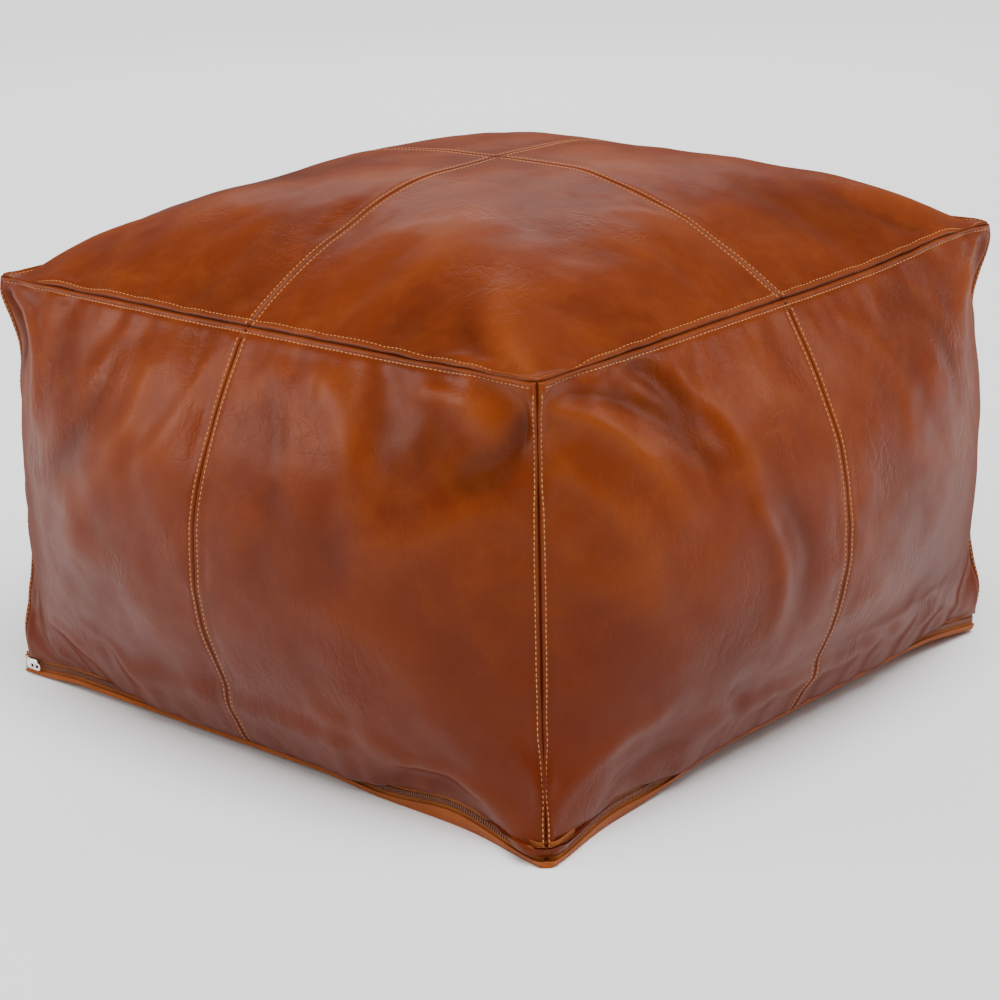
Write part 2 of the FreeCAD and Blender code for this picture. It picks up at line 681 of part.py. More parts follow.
def bulged_face(corners, rise):
    """A face with straight edges whose middle stands out by rise, through the middles of its corners."""
    first, second, third, fourth = corners
    middle = (first + second + third + fourth) * 0.25
    centre = middle + rise * BEZIER_LIFT
    rows = [
        [first, (first + second) * 0.5, second],
        [(first + fourth) * 0.5, centre, (second + third) * 0.5],
        [fourth, (third + fourth) * 0.5, third],
    ]
    surface = Part.BezierSurface()
    surface.increase(2, 2)
    for row, points in enumerate(rows, start=1):
        for column, point in enumerate(points, start=1):
            surface.setPole(row, column, point)
    return surface.toShape()


def pillow(half, low, high, bulge, crown):
    """A closed square cushion: flat below, bulged on its four sides and its top."""
    turns = ((-1, -1), (1, -1), (1, 1), (-1, 1))
    lower = [Vector(x * half, y * half, low) for x, y in turns]
    upper = [Vector(x * half, y * half, high) for x, y in turns]
    faces = [bulged_face(lower, Vector()), bulged_face(upper, Vector(0, 0, crown))]
    outward = (Vector(0, -1, 0), Vector(1, 0, 0), Vector(0, 1, 0), Vector(-1, 0, 0))
    for index in range(4):
        following = (index + 1) % 4
        corners = [lower[index], lower[following], upper[following], upper[index]]
        faces.append(bulged_face(corners, outward[index] * bulge))
    shell = Part.Shell(faces)
    solid = Part.Solid(shell)
    return solid if solid.Volume > 0 else solid.reversed()


def add_feature(name, shape):
    feature = doc.addObject("Part::Feature", name)
    feature.Label = name
    feature.Shape = shape
    nodes.append(feature)
    return feature


def insert_top():
    """Top panel of the cotton bag: the upper face of a cushion, given a thickness."""
    half = value_of(BAG_HALF)
    height = value_of(BAG_TOP)
    corners = [Vector(x * half, y * half, height) for x, y in ((-1, -1), (1, -1), (1, 1), (-1, 1))]
    face = bulged_face(corners, Vector(0, 0, value_of("Sizes.insert_crown")))
    add_feature("insert_top_panel", face.extrude(Vector(0, 0, value_of(COTTON))))


def make_filling():
    gap = value_of("Sizes.filling_clearance")
    half = value_of(f"{BAG_HALF} - {COTTON}") - gap
    low = value_of(FOOT)
    high = value_of(BAG_TOP) - gap
    bulge = value_of("Sizes.insert_bulge") - gap
    crown = value_of("Sizes.insert_crown") - gap
    upper = pillow(half, low, high, bulge, crown)
    foot = value_of(f"{BAG_FLOOR} + {COTTON}") + gap
    lower = Part.makeBox(2 * half, 2 * half, low - foot, Vector(-half, -half, foot))
    add_feature("insert_filling", upper.fuse(lower).removeSplitter())


def check_document():
    """Stops before anything is written if an object has failed or a node's shape is unsound."""
    for item in doc.Objects:
        if "Invalid" in item.State or "Error" in item.State:
            raise RuntimeError(f"{item.Name} failed: {item.State}")
    for node in nodes:
        if node.Shape.isNull() or not node.Shape.isValid() or node.Shape.Volume <= 0:
            raise RuntimeError(f"{node.Label} has no sound shape")


def export_nodes():
    os.makedirs("parts", exist_ok=True)
    for node in nodes:
        node.Shape.exportStep(os.path.join("parts", node.Label + ".step"))


fill_sheet()
make_top_panels()
make_side_panels()
make_base_panel()
make_hinge_band()
make_zip()
make_slider()
make_pull()
make_stop("zip_top_stop", -1)
make_stop("zip_bottom_stop", 1)
make_stitching()
make_insert()
doc.recompute()
check_document()
export_nodes()
print(len(nodes), "nodes written")
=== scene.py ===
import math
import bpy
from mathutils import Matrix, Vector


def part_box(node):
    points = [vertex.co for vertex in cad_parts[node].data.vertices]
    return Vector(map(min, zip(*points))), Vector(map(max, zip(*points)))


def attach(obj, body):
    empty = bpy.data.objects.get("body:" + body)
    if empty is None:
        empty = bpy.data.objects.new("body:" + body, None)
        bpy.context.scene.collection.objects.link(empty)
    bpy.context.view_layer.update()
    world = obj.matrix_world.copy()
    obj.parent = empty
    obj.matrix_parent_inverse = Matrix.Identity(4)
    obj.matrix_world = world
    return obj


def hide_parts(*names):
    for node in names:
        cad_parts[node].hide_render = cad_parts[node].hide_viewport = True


bl_info = {
    "name": "Leather Floor Pouf",
    "version": (1, 0, 0),
    "blender": (4, 5, 0),
    "location": "3D View > Sidebar > Pouf",
    "description": "Builds a stuffed leather floor pouf with its zip, stitching, insert and studio",
    "category": "Add Mesh",
}

import bpy
import numpy as np
from bpy.props import FloatProperty, FloatVectorProperty, IntProperty, PointerProperty
from mathutils import Matrix, Vector

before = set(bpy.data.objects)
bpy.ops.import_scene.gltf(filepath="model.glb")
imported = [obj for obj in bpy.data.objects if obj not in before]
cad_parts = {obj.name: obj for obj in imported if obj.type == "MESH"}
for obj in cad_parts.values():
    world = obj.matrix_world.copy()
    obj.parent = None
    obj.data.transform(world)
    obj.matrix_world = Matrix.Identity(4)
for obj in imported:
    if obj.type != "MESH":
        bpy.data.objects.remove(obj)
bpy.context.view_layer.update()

MM = 0.001
HAIR = 0.01 * MM
OUTWARD = {"front": (0, -1), "right": (1, 0), "back": (0, 1), "left": (-1, 0)}
TOP_PANELS = {
    "top_panel_front_left": (-1, -1),
    "top_panel_front_right": (1, -1),
    "top_panel_back_right": (1, 1),
    "top_panel_back_left": (-1, 1),
}
SIDE_PANELS = {
    "front_panel_left": ("front", -1),
    "front_panel_right": ("front", 1),
    "right_panel_front": ("right", -1),
    "right_panel_back": ("right", 1),
    "back_panel_right": ("back", 1),
    "back_panel_left": ("back", -1),
    "left_panel_back": ("left", 1),
    "left_panel_front": ("left", -1),
}

SIDE_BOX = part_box("front_panel_left")
TOP_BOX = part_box("top_panel_front_left")
HALF = -SIDE_BOX[0][0]
FOOT = SIDE_BOX[0][2]
RIM = SIDE_BOX[1][2]
WALL = RIM - FOOT
BULGE = -SIDE_BOX[0][1] - HALF
CROWN = TOP_BOX[1][2] - RIM


class PoufSizes(bpy.types.PropertyGroup):
    stuffing: FloatProperty(
        name="Stuffing", description="How hard the stuffing presses on the cover", default=7.0, min=0, max=30)
    ease: FloatProperty(
        name="Ease", description="Share by which the leather was cut larger than its seams", default=0.013,
        min=0, max=0.1, subtype="FACTOR")
    settle_frames: IntProperty(
        name="Settling Time", description="Frames of cloth simulation", default=26, min=1, max=100)
    panel_pitch: FloatProperty(
        name="Mesh Pitch", description="Spacing of the cover's cut lines away from the seams", default=10 * MM,
        unit="LENGTH", min=4 * MM, max=40 * MM)
    leather_thickness: FloatProperty(
        name="Leather Thickness", description="Thickness of the cover's leather", default=1.8 * MM, unit="LENGTH")
    edge_row: FloatProperty(
        name="Edge Row", description="Topstitch row to edge seam", default=4.8 * MM, unit="LENGTH")
    corner_row: FloatProperty(
        name="Corner Row", description="Topstitching's distance from the upright corner seams", default=3.4 * MM, unit="LENGTH")
    cross_row: FloatProperty(
        name="Middle Row", description="Topstitch row to middle seam", default=4.0 * MM, unit="LENGTH")
    stitch_pitch: FloatProperty(
        name="Stitch Pitch", description="Length of one stitch and its gap", default=4.2 * MM, unit="LENGTH")
    stitch_length: FloatProperty(
        name="Stitch Length", description="Length of thread seen in one stitch", default=3.3 * MM, unit="LENGTH")
    thread: FloatProperty(
        name="Thread", description="Diameter of the topstitching thread", default=0.95 * MM, unit="LENGTH")
    groove: FloatProperty(
        name="Seam Groove", description="Depth of the groove at a seam", default=1.9 * MM, unit="LENGTH")
    tooth_pitch: FloatProperty(
        name="Tooth Pitch", description="Spacing of the zip's teeth", default=2.2 * MM, unit="LENGTH")
    zip_wave: FloatProperty(
        name="Zip Wave", description="How far the zip lifts off the floor beside the front corner",
        default=7 * MM, unit="LENGTH")


class PoufColours(bpy.types.PropertyGroup):
    leather: FloatVectorProperty(
        name="Leather", description="Main colour of the glazed leather", subtype="COLOR", size=3,
        default=(0.135, 0.0205, 0.0028), min=0, max=1)
    # Also the colour of the painted highlight on raised folds and seam rolls.
    leather_light: FloatVectorProperty(
        name="Leather, Rubbed", description="Where the dye is thin", subtype="COLOR", size=3,
        default=(0.29, 0.066, 0.010), min=0, max=1)
    # Also the colour of the painted shade towards the foot, and, darkened further, of the painted shade at the seams
    # and in fold hollows.
    leather_dark: FloatVectorProperty(
        name="Leather, Deep", description="Where the dye has gathered", subtype="COLOR", size=3,
        default=(0.085, 0.011, 0.0025), min=0, max=1)
    thread: FloatVectorProperty(
        name="Thread", description="Topstitching thread", subtype="COLOR", size=3,
        default=(0.50, 0.19, 0.033), min=0, max=1)
    suede: FloatVectorProperty(
        name="Base Suede", description="Suede of the base panel", subtype="COLOR", size=3,
        default=(0.27, 0.062, 0.008), min=0, max=1)
    tape: FloatVectorProperty(
        name="Zip Tape", description="Woven tape of the zip", subtype="COLOR", size=3,
        default=(0.27, 0.072, 0.011), min=0, max=1)
    coil: FloatVectorProperty(
        name="Zip Teeth", description="Nylon teeth of the zip", subtype="COLOR", size=3,
        default=(0.13, 0.030, 0.006), min=0, max=1)
    metal: FloatVectorProperty(
        name="Slider Metal", description="Plated metal of the slider", subtype="COLOR", size=3,
        default=(0.46, 0.44, 0.42), min=0, max=1)
    cotton: FloatVectorProperty(
        name="Cotton", description="Cotton of the insert's bag", subtype="COLOR", size=3,
        default=(0.72, 0.67, 0.56), min=0, max=1)
    filling: FloatVectorProperty(
        name="Filling", description="Loose fibre inside the insert", subtype="COLOR", size=3,
        default=(0.80, 0.79, 0.75), min=0, max=1)
    floor: FloatVectorProperty(
        name="Floor", description="Studio floor", subtype="COLOR", size=3,
        default=(0.90, 0.90, 0.90), min=0, max=1)


def sizes():
    return bpy.context.scene.pouf_sizes


def colours():
    return bpy.context.scene.pouf_colours


# ---------------------------------------------------------------- handling pieces


def deselect_all():
    if bpy.context.object and bpy.context.object.mode != "OBJECT":
        bpy.ops.object.mode_set(mode="OBJECT")
    bpy.ops.object.select_all(action="DESELECT")


def make_active(piece):
    deselect_all()
    piece.select_set(True)
    bpy.context.view_layer.objects.active = piece


def apply_modifier(piece, modifier):
    make_active(piece)
    bpy.ops.object.modifier_apply(modifier=modifier.name)


def rename(piece, name):
    piece.name = name
    piece.data.name = name


def add_box(name, low, high):
    """A box primitive with its place in its mesh."""
    deselect_all()
    low = Vector(low)
    high = Vector(high)
    bpy.ops.mesh.primitive_cube_add(size=1, location=(low + high) / 2)
    piece = bpy.context.object
    rename(piece, name)
    piece.scale = high - low
    bpy.ops.object.transform_apply(location=True, rotation=True, scale=True)
    return piece


def copy_node(node, name):
    """A copy of a CAD node's mesh with its loose triangles merged, for shaping further."""
    source = bpy.data.objects[node]
    piece = bpy.data.objects.new(name, source.data.copy())
    piece.data.name = name
    bpy.context.collection.objects.link(piece)
    piece.data.materials.clear()
    make_active(piece)
    bpy.ops.object.mode_set(mode="EDIT")
    bpy.ops.mesh.select_all(action="SELECT")
    bpy.ops.mesh.remove_doubles(threshold=HAIR)
    bpy.ops.mesh.tris_convert_to_quads()
    bpy.ops.object.mode_set(mode="OBJECT")
    return piece


def cut_along(piece, normal, places):
    """Cuts a piece through at each place along one axis."""
    make_active(piece)
    bpy.ops.object.mode_set(mode="EDIT")
    for place in places:
        bpy.ops.mesh.select_all(action="SELECT")
        bpy.ops.mesh.bisect(plane_co=[place * part for part in normal], plane_no=normal)
    bpy.ops.object.mode_set(mode="OBJECT")


def select_faces(piece, chosen):
    """Selects the faces of a mesh by their numbers, and nothing else."""
    make_active(piece)
    bpy.ops.object.mode_set(mode="EDIT")
    bpy.ops.mesh.select_mode(type="FACE")
    bpy.ops.mesh.select_all(action="DESELECT")
    bpy.ops.object.mode_set(mode="OBJECT")
    flags = np.zeros(len(piece.data.polygons), dtype=bool)
    flags[chosen] = True
    piece.data.polygons.foreach_set("select", flags)
    bpy.ops.object.mode_set(mode="EDIT")


def smooth(piece, degrees=40):
    make_active(piece)
    bpy.ops.object.shade_smooth_by_angle(angle=math.radians(degrees))


def finish_piece(piece, body, slot, *nodes):
    """Hands a piece to the frame: the body it moves with and the nodes it stands for, which it hides; its finish is
    not used.
    """
    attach(piece, body)
    if nodes:
        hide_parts(*nodes)


def give_material(piece, material):
    piece.data.materials.clear()
    piece.data.materials.append(material)


def read_points(mesh):
    points = np.empty(len(mesh.vertices) * 3)
    mesh.vertices.foreach_get("co", points)
    return points.reshape(-1, 3)


def write_points(mesh, points):
    mesh.vertices.foreach_set("co", np.ascontiguousarray(points, dtype=np.float64).ravel())
    mesh.update()


def read_normals(mesh):
    normals = np.empty(len(mesh.vertices) * 3)
    mesh.vertex_normals.foreach_get("vector", normals)
    return normals.reshape(-1, 3)


def face_centres(mesh):
    centres = np.empty(len(mesh.polygons) * 3)
    mesh.polygons.foreach_get("center", centres)
    return centres.reshape(-1, 3)


def read_attribute(mesh, name):
    values = np.empty(len(mesh.vertices) * 3)
    mesh.attributes[name].data.foreach_get("vector", values)
    return values.reshape(-1, 3)


def write_attribute(mesh, name, values, kind="FLOAT"):
    layer = mesh.attributes.get(name) or mesh.attributes.new(name, kind, "POINT")
    field = "value" if kind == "FLOAT" else "vector"
    layer.data.foreach_set(field, np.ascontiguousarray(values, dtype=np.float64).ravel())


def hump(value, centre, width):
    """A smooth bump of height 1 at the centre."""
    return np.exp(-(((value - centre) / width) ** 2))


# ---------------------------------------------------------------- cover: cut, stuffed and settled

EDGE_STEPS = (0, 1.7, 3.4, 4.8, 7.5, 12, 18)
CROSS_STEPS = (0, 2.0, 4.0, 7.0, 12, 18)
FOOT_STEPS = (0, 1.5, 4.5, 9, 15)

# How far each top corner stands above the edge height and inwards of the seam corner, by its signs in X and Y.
CORNER_LIFT = {(-1, -1): -3.5 * MM, (1, -1): 4 * MM, (1, 1): 9 * MM, (-1, 1): 2 * MM}
CORNER_INSET = {(-1, -1): 3 * MM, (1, -1): 0, (1, 1): 2 * MM, (-1, 1): 3 * MM}
# How far the upright seam of each corner is drawn in below the ear that its top makes.
EAR_DEPTH = {(-1, -1): 9 * MM, (1, -1): 4 * MM, (1, 1): 10 * MM, (-1, 1): 8 * MM}
SEAM_DRIFT = 9 * MM


def cut_lines(start, end, near_start, near_end, pitch):
    """Cut lines between two seams: close together beside each seam and evenly spaced between."""
    low = [start + step * MM for step in near_start]
    high = [end - step * MM for step in near_end]
    count = max(1, round((high[-1] - low[-1]) / pitch))
    middle = [low[-1] + (high[-1] - low[-1]) * step / count for step in range(1, count)]
    return low + middle + high[::-1]


def cut_cover():
    """The cover before it is stuffed: an open-bottomed box divided along its cut lines."""
    pitch = sizes().panel_pitch
    piece = add_box("cover_cut", (-HALF, -HALF, FOOT), (HALF, HALF, RIM))
    half_lines = cut_lines(-HALF, 0, EDGE_STEPS, CROSS_STEPS, pitch)
    across = half_lines[1:-1] + [0] + [-place for place in half_lines[1:-1]]
    upward = cut_lines(FOOT, RIM, FOOT_STEPS, EDGE_STEPS, pitch)[1:-1]
    cut_along(piece, (1, 0, 0), across)
    cut_along(piece, (0, 1, 0), across)
    cut_along(piece, (0, 0, 1), upward)
    bottom = [polygon.index for polygon in piece.data.polygons if polygon.normal.z < -0.5]
    select_faces(piece, bottom)
    bpy.ops.mesh.delete(type="FACE")
    bpy.ops.object.mode_set(mode="OBJECT")
    write_attribute(piece.data, "cut", read_points(piece.data), "FLOAT_VECTOR")
    return piece


def on_top(cut):
    return cut[:, 2] > RIM - HAIR


def on_face(cut, name):
    """Whether each point lies on one side face of the flat leather, its edges included."""
    x, y = OUTWARD[name]
    return np.abs((cut[:, 0] if x else cut[:, 1]) - (x + y) * HALF) < HAIR


def along_face(cut, name):
    """How far along a side face each point lies, from -1 at its left edge to 1 at its right, seen from outside."""
    x, y = OUTWARD[name]
    return x * cut[:, 1] / HALF - y * cut[:, 0] / HALF


def level_of(cut):
    return (cut[:, 2] - FOOT) / WALL


def stuffed_shape(cut):
    """Where the cut cover's points lie once it is filled, before the leather settles."""
    u = cut[:, 0] / HALF
    v = cut[:, 1] / HALF
    level = level_of(cut)
    tall = 1 - (2 * level - 1) ** 2
    points = cut.copy()
    for name, (x, y) in OUTWARD.items():
        out = BULGE * 0.98 * (1 - np.abs(along_face(cut, name)) ** 2.6) * tall * on_face(cut, name)
        points[:, 0] += x * out
        points[:, 1] += y * out
    points[:, 2] += CROWN * 0.88 * (1 - np.abs(u) ** 3.8) * (1 - np.abs(v) ** 3.8) * on_top(cut)
    points[:, 2] += 9 * MM * hump(u, 0.8, 0.28) * hump(v, 0.8, 0.28) * level
    for (x, y), lift in CORNER_LIFT.items():
        share = (1 + x * u) / 2 * (1 + y * v) / 2 * level
        points[:, 2] += share * lift
        inset = CORNER_INSET[(x, y)] * share * np.abs(u * v)
        drawn = np.clip(level / 0.3, 0, 1) * np.clip((0.97 - level) / 0.16, 0, 1)
        drawn = drawn * drawn * (3 - 2 * drawn) * EAR_DEPTH[(x, y)]
        near_corner = hump(x * u, 1, 0.16) * hump(y * v, 1, 0.16)
        inset = inset + drawn * near_corner
        points[:, 0] -= x * inset
        points[:, 1] -= y * inset
    points[:, 0] += SEAM_DRIFT * np.clip(-v, 0, 1) * (1 - u**2) * (2 * level - 1)
    points[:, 1] -= SEAM_DRIFT * np.clip(u, 0, 1) * (1 - v**2) * level
    return points


def seam_distance(cut):
    """Distance on the flat leather from the nearest edge seam, and from the nearest middle seam."""
    gaps = np.stack([HALF - np.abs(cut[:, 0]), HALF - np.abs(cut[:, 1]), RIM - cut[:, 2]], axis=1)
    edge = np.sort(gaps, axis=1)[:, 1]
    top = on_top(cut)
    far = 1.0
    cross_x = np.where((gaps[:, 0] < HAIR) & ~top, far, np.abs(cut[:, 0]))
    cross_y = np.where((gaps[:, 1] < HAIR) & ~top, far, np.abs(cut[:, 1]))
    return edge, np.minimum(cross_x, cross_y)


def corner_distance(cut):
    gaps = np.stack([HALF - np.abs(cut[:, 0]), HALF - np.abs(cut[:, 1]), RIM - cut[:, 2]], axis=1)
    return np.sort(gaps, axis=1)[:, 2]


def weigh(piece, name, weights):
    """A vertex group from an array of weights, in steps of a fiftieth."""
    group = piece.vertex_groups.new(name=name)
    steps = np.round(weights * 50).astype(int)
    for step in np.unique(steps):
        if step > 0:
            chosen = np.nonzero(steps == step)[0]
            group.add([int(index) for index in chosen], float(step) / 50, "REPLACE")


def run_cloth(piece, frames, pressure, ease):
    """Presses a held shape outwards from within as cloth, and applies the result."""
    modifier = piece.modifiers.new("settle", "CLOTH")
    cloth = modifier.settings
    cloth.quality = 7
    cloth.mass = 0.25
    cloth.tension_stiffness = 60
    cloth.compression_stiffness = 60
    cloth.shear_stiffness = 30
    cloth.bending_stiffness = 3
    cloth.tension_damping = 15
    cloth.compression_damping = 15
    cloth.shear_damping = 10
    cloth.bending_damping = 2
    cloth.air_damping = 4
    cloth.use_pressure = True
    cloth.uniform_pressure_force = pressure
    cloth.vertex_group_mass = "held"
    cloth.pin_stiffness = 20
    cloth.vertex_group_shrink = "tight"
    cloth.shrink_min = -ease
    cloth.shrink_max = 0.0
    cloth.effector_weights.gravity = 0
    modifier.collision_settings.use_collision = False
    modifier.point_cache.frame_start = 1
    modifier.point_cache.frame_end = max(2, frames)
    for number in range(1, frames + 1):
        bpy.context.scene.frame_set(number)
    apply_modifier(piece, modifier)
    bpy.context.scene.frame_set(1)


MOST_MOVEMENT = 24 * MM
SEAM_BAND = 12 * MM


def even_seam(cut, points, axis):
    """Lays the leather beside the middle seams flat again, so that both topstitched rows stay parallel."""
    lines = {}
    across = 1 - axis
    free = (np.abs(cut[:, axis]) < SEAM_BAND + HAIR)
    for number in np.nonzero(free)[0]:
        key = (round(cut[number, across] / HAIR), round(cut[number, 2] / HAIR))
        lines.setdefault(key, []).append(number)
    for numbers in lines.values():
        numbers = sorted(numbers, key=lambda number: cut[number, axis])
        first, last = points[numbers[0]].copy(), points[numbers[-1]].copy()
        for number in numbers:
            share = (cut[number, axis] + SEAM_BAND) / (2 * SEAM_BAND)
            points[number] = first + (last - first) * share


def settle_cover(piece, cut):
    """The stuffing presses outwards on leather that was cut a little larger than its seams."""
    start = stuffed_shape(cut)
    write_points(piece.data, start)
    edge, cross = seam_distance(cut)
    held = np.where(edge < HAIR, 0.5, 0.0)
    held = np.where((edge < HAIR) & (corner_distance(cut) < 12 * MM), 1.0, held)
    held = np.where(cut[:, 2] < FOOT + HAIR, 1.0, held)
    weigh(piece, "held", held)
    weigh(piece, "tight", np.clip(1 - edge / (6 * MM), 0, 1))
    frames = sizes().settle_frames
    run_cloth(piece, frames, sizes().stuffing, sizes().ease)
    moved = read_points(piece.data) - start
    length = np.maximum(np.linalg.norm(moved, axis=1), HAIR)
    share = np.minimum(1, MOST_MOVEMENT / length)
    settled = start + moved * share[:, None]
    even_seam(cut, settled, 0)
    even_seam(cut, settled, 1)
    write_points(piece.data, settled)


# ---------------------------------------------------------------- folds, grooves and the lifted hem

# Each fold runs from one place to another on its face: along and up at each end, both as shares of the face,
# then its half width and its height in millimetres. A height below 0 is a hollow.
FRONT_FOLDS = (
    (-0.28, 0.86, -0.52, 0.52, 17, 3.2),
    (-0.42, 0.90, -0.70, 0.56, 13, -2.0),
    (-0.10, 0.90, -0.30, 0.62, 12, 2.0),
    (-0.965, 0.95, -0.925, 0.82, 8, -7.0),
    (-0.93, 0.95, -0.76, 0.70, 10, 2.4),
    (0.975, 0.95, 0.84, 0.78, 12, -6.0),
    (0.66, 0.94, 0.90, 0.86, 12, 3.6),
    (0.86, 0.76, 0.55, 0.60, 15, 2.2),
    (0.30, 0.93, 0.52, 0.70, 15, 2.4),
    (0.16, 0.88, 0.26, 0.66, 12, -1.6),
    (-0.97, 0.10, -0.80, 0.035, 5, 1.8),
    (-0.78, 0.14, -0.58, 0.055, 6, 1.8),
    (-0.59, 0.19, -0.36, 0.05, 6, 1.8),
    (0.30, 0.17, 0.62, 0.08, 13, 2.6),
    (0.60, 0.09, 0.93, 0.015, 9, 4.0),
    (0.50, 0.03, 0.78, 0.02, 9, -2.5),
    (0.45, 0.45, 0.75, 0.28, 22, 1.8),
    (-0.55, 0.42, -0.25, 0.30, 22, 1.5),
)
RIGHT_FOLDS = (
    (-0.95, 0.93, -0.60, 0.66, 11, 3.4),
    (-0.86, 0.95, -0.50, 0.74, 9, -3.0),
    (-0.66, 0.98, -0.52, 0.84, 11, -3.5),
    (-0.50, 0.92, -0.34, 0.60, 12, 2.6),
    (-0.36, 0.62, -0.28, 0.36, 9, 2.6),
    (-0.24, 0.60, -0.18, 0.38, 11, -1.8),
    (-0.95, 0.80, -0.70, 0.48, 13, 2.0),
    (-0.90, 0.55, -0.62, 0.34, 16, 1.8),
    (0.20, 0.92, 0.36, 0.66, 14, 2.0),
    (0.50, 0.92, 0.62, 0.68, 14, -1.8),
    (0.88, 0.88, 0.955, 0.78, 7, -7.0),
    (0.92, 0.97, 0.78, 0.86, 9, 3.4),
    (0.96, 0.80, 0.84, 0.56, 10, 2.2),
    (-0.96, 0.06, -0.66, 0.20, 10, 2.6),
    (-0.80, 0.03, -0.45, 0.09, 9, -2.2),
    (0.58, 0.07, 0.90, 0.02, 8, 2.6),
    (0.10, 0.30, 0.45, 0.10, 18, 1.8),
)
BACK_FOLDS = (
    (-0.95, 0.94, -0.66, 0.62, 12, 3.0),
    (-0.84, 0.95, -0.55, 0.70, 10, -2.6),
    (-0.30, 0.90, -0.48, 0.54, 16, 2.6),
    (0.22, 0.92, 0.40, 0.60, 15, 2.4),
    (0.94, 0.95, 0.74, 0.66, 12, 3.2),
    (0.97, 0.90, 0.86, 0.72, 10, -4.0),
    (-0.94, 0.10, -0.60, 0.20, 10, 2.2),
    (0.92, 0.08, 0.60, 0.18, 10, 2.4),
    (0.30, 0.14, 0.60, 0.05, 9, 1.8),
    (-0.40, 0.40, -0.12, 0.25, 20, 1.6),
)
LEFT_FOLDS = (
    (-0.96, 0.92, -0.72, 0.62, 12, 3.0),
    (-0.88, 0.96, -0.62, 0.74, 10, -3.0),
    (-0.40, 0.93, -0.22, 0.62, 14, 2.4),
    (0.26, 0.90, 0.50, 0.56, 16, 2.4),
    (0.94, 0.96, 0.80, 0.70, 11, -3.4),
    (0.88, 0.92, 0.66, 0.68, 12, 2.8),
    (-0.90, 0.12, -0.55, 0.05, 9, 2.0),
    (0.60, 0.06, 0.92, 0.12, 9, 2.2),
    (0.05, 0.20, 0.34, 0.07, 10, 1.8),
)
TOP_FOLDS = (
    (-0.96, -0.93, -0.62, -0.66, 12, 2.0),
    (0.95, -0.95, 0.66, -0.72, 12, 2.4),
    (0.80, -0.95, 0.58, -0.78, 10, -1.8),
    (0.96, 0.94, 0.70, 0.66, 14, 2.6),
    (0.97, 0.72, 0.78, 0.56, 10, -1.8),
    (-0.95, 0.95, -0.66, 0.70, 12, 2.2),
    (-0.55, -0.60, -0.20, -0.40, 26, 1.8),
    (0.12, -0.72, 0.40, -0.50, 24, 1.6),
    (0.55, -0.20, 0.80, 0.02, 22, 1.6),
    (-0.60, 0.20, -0.30, 0.42, 26, -1.4),
)
# Along each face, where the leather starts to hang over the zip, hangs fully, still hangs, and ends.
OVERHANGS = {
    "front": (-0.80, -0.35, 0.35, 0.62),
    "right": (-0.72, -0.40, 0.60, 0.86),
    "back": (-0.80, -0.40, 0.40, 0.85),
    "left": (-0.90, -0.60, 0.60, 0.90),
}
FACE_FOLDS = {"front": FRONT_FOLDS, "right": RIGHT_FOLDS, "back": BACK_FOLDS, "left": LEFT_FOLDS}


def fold(along, up, width_scale, height_scale, lines):
    """Height of all the folds of one face at each point: a rounded ridge or hollow along each line."""
    total = np.zeros(len(along))
    place = np.stack([along * width_scale, up * height_scale], axis=1)
    for start_along, start_up, end_along, end_up, half_width, height in lines:
        start = np.array([start_along * width_scale, start_up * height_scale])
        end = np.array([end_along * width_scale, end_up * height_scale])
        run = end - start
        length = np.linalg.norm(run)
        step = run / length
        bow = 0.12 * length
        t = (place - start) @ step / length
        inside = np.clip(t, 0, 1)
        side = (place - start) @ np.array([-step[1], step[0]])
        side = side - bow * 4 * inside * (1 - inside)
        beyond = (t - inside) * length
        width = half_width * MM * (0.6 + 0.6 * inside)
        reach = np.exp(-((side / width) ** 2) - (beyond / (1.2 * width)) ** 2)
        taper = 0.35 + 0.65 * np.sin(np.pi * (0.15 + 0.7 * inside))
        total += height * MM * taper * reach
    return total


def waves(cut, seed, reach, height):
    """Slow unevenness of stuffed leather: a sum of a few plane waves, the same on every run."""
    draw = np.random.default_rng(seed)
    total = np.zeros(len(cut))
    count = 14
    for _ in range(count):
        direction = draw.normal(size=3)
        direction /= np.linalg.norm(direction)
        pace = 2 * math.pi / (reach * draw.uniform(0.6, 1.6))
        total += np.sin(cut @ direction * pace + draw.uniform(0, 2 * math.pi))
    return total * height / math.sqrt(count)


def fold_height(cut):
    """Folds, creases and unevenness of the leather, fading out at the seams."""
    edge, cross = seam_distance(cut)
    total = np.zeros(len(cut))
    level = level_of(cut)
    for name, lines in FACE_FOLDS.items():
        total += fold(along_face(cut, name), level, HALF, WALL, lines) * on_face(cut, name)
    top = on_top(cut)
    total += fold(cut[:, 0] / HALF, cut[:, 1] / HALF, HALF, HALF, TOP_FOLDS) * top
    total += waves(cut, 11, 90 * MM, 0.55 * MM) + waves(cut, 12, 38 * MM, 0.22 * MM)
    fade = np.clip(edge / (16 * MM), 0, 1) * (0.45 + 0.55 * np.clip(cross / (18 * MM), 0, 1))
    loose = np.clip(level / 0.1, 0, 1)
    return total * fade + (waves(cut, 13, 170 * MM, 1.0 * MM) + waves(cut, 14, 60 * MM, 0.35 * MM)) * loose


def seam_height(cut):
    """The groove of each seam, the roll beside it and the dip that the topstitching pulls in."""
    edge, cross = seam_distance(cut)
    total = np.zeros(len(cut))
    rows = ((edge, sizes().edge_row, 1.0), (cross, sizes().cross_row, 0.6))
    for distance, row, share in rows:
        total -= share * sizes().groove * np.exp(-((distance / (0.9 * MM)) ** 2))
        total += share * 0.55 * MM * hump(distance, 0.52 * row, 1.3 * MM)
        total -= share * 0.50 * MM * hump(distance, row, 1.1 * MM)
        total += share * 0.35 * MM * hump(distance, row + 4 * MM, 3 * MM)
    valley = hump(cross, 0, 26 * MM) * np.clip(edge / (40 * MM), 0, 1)
    return total - 0.8 * MM * valley


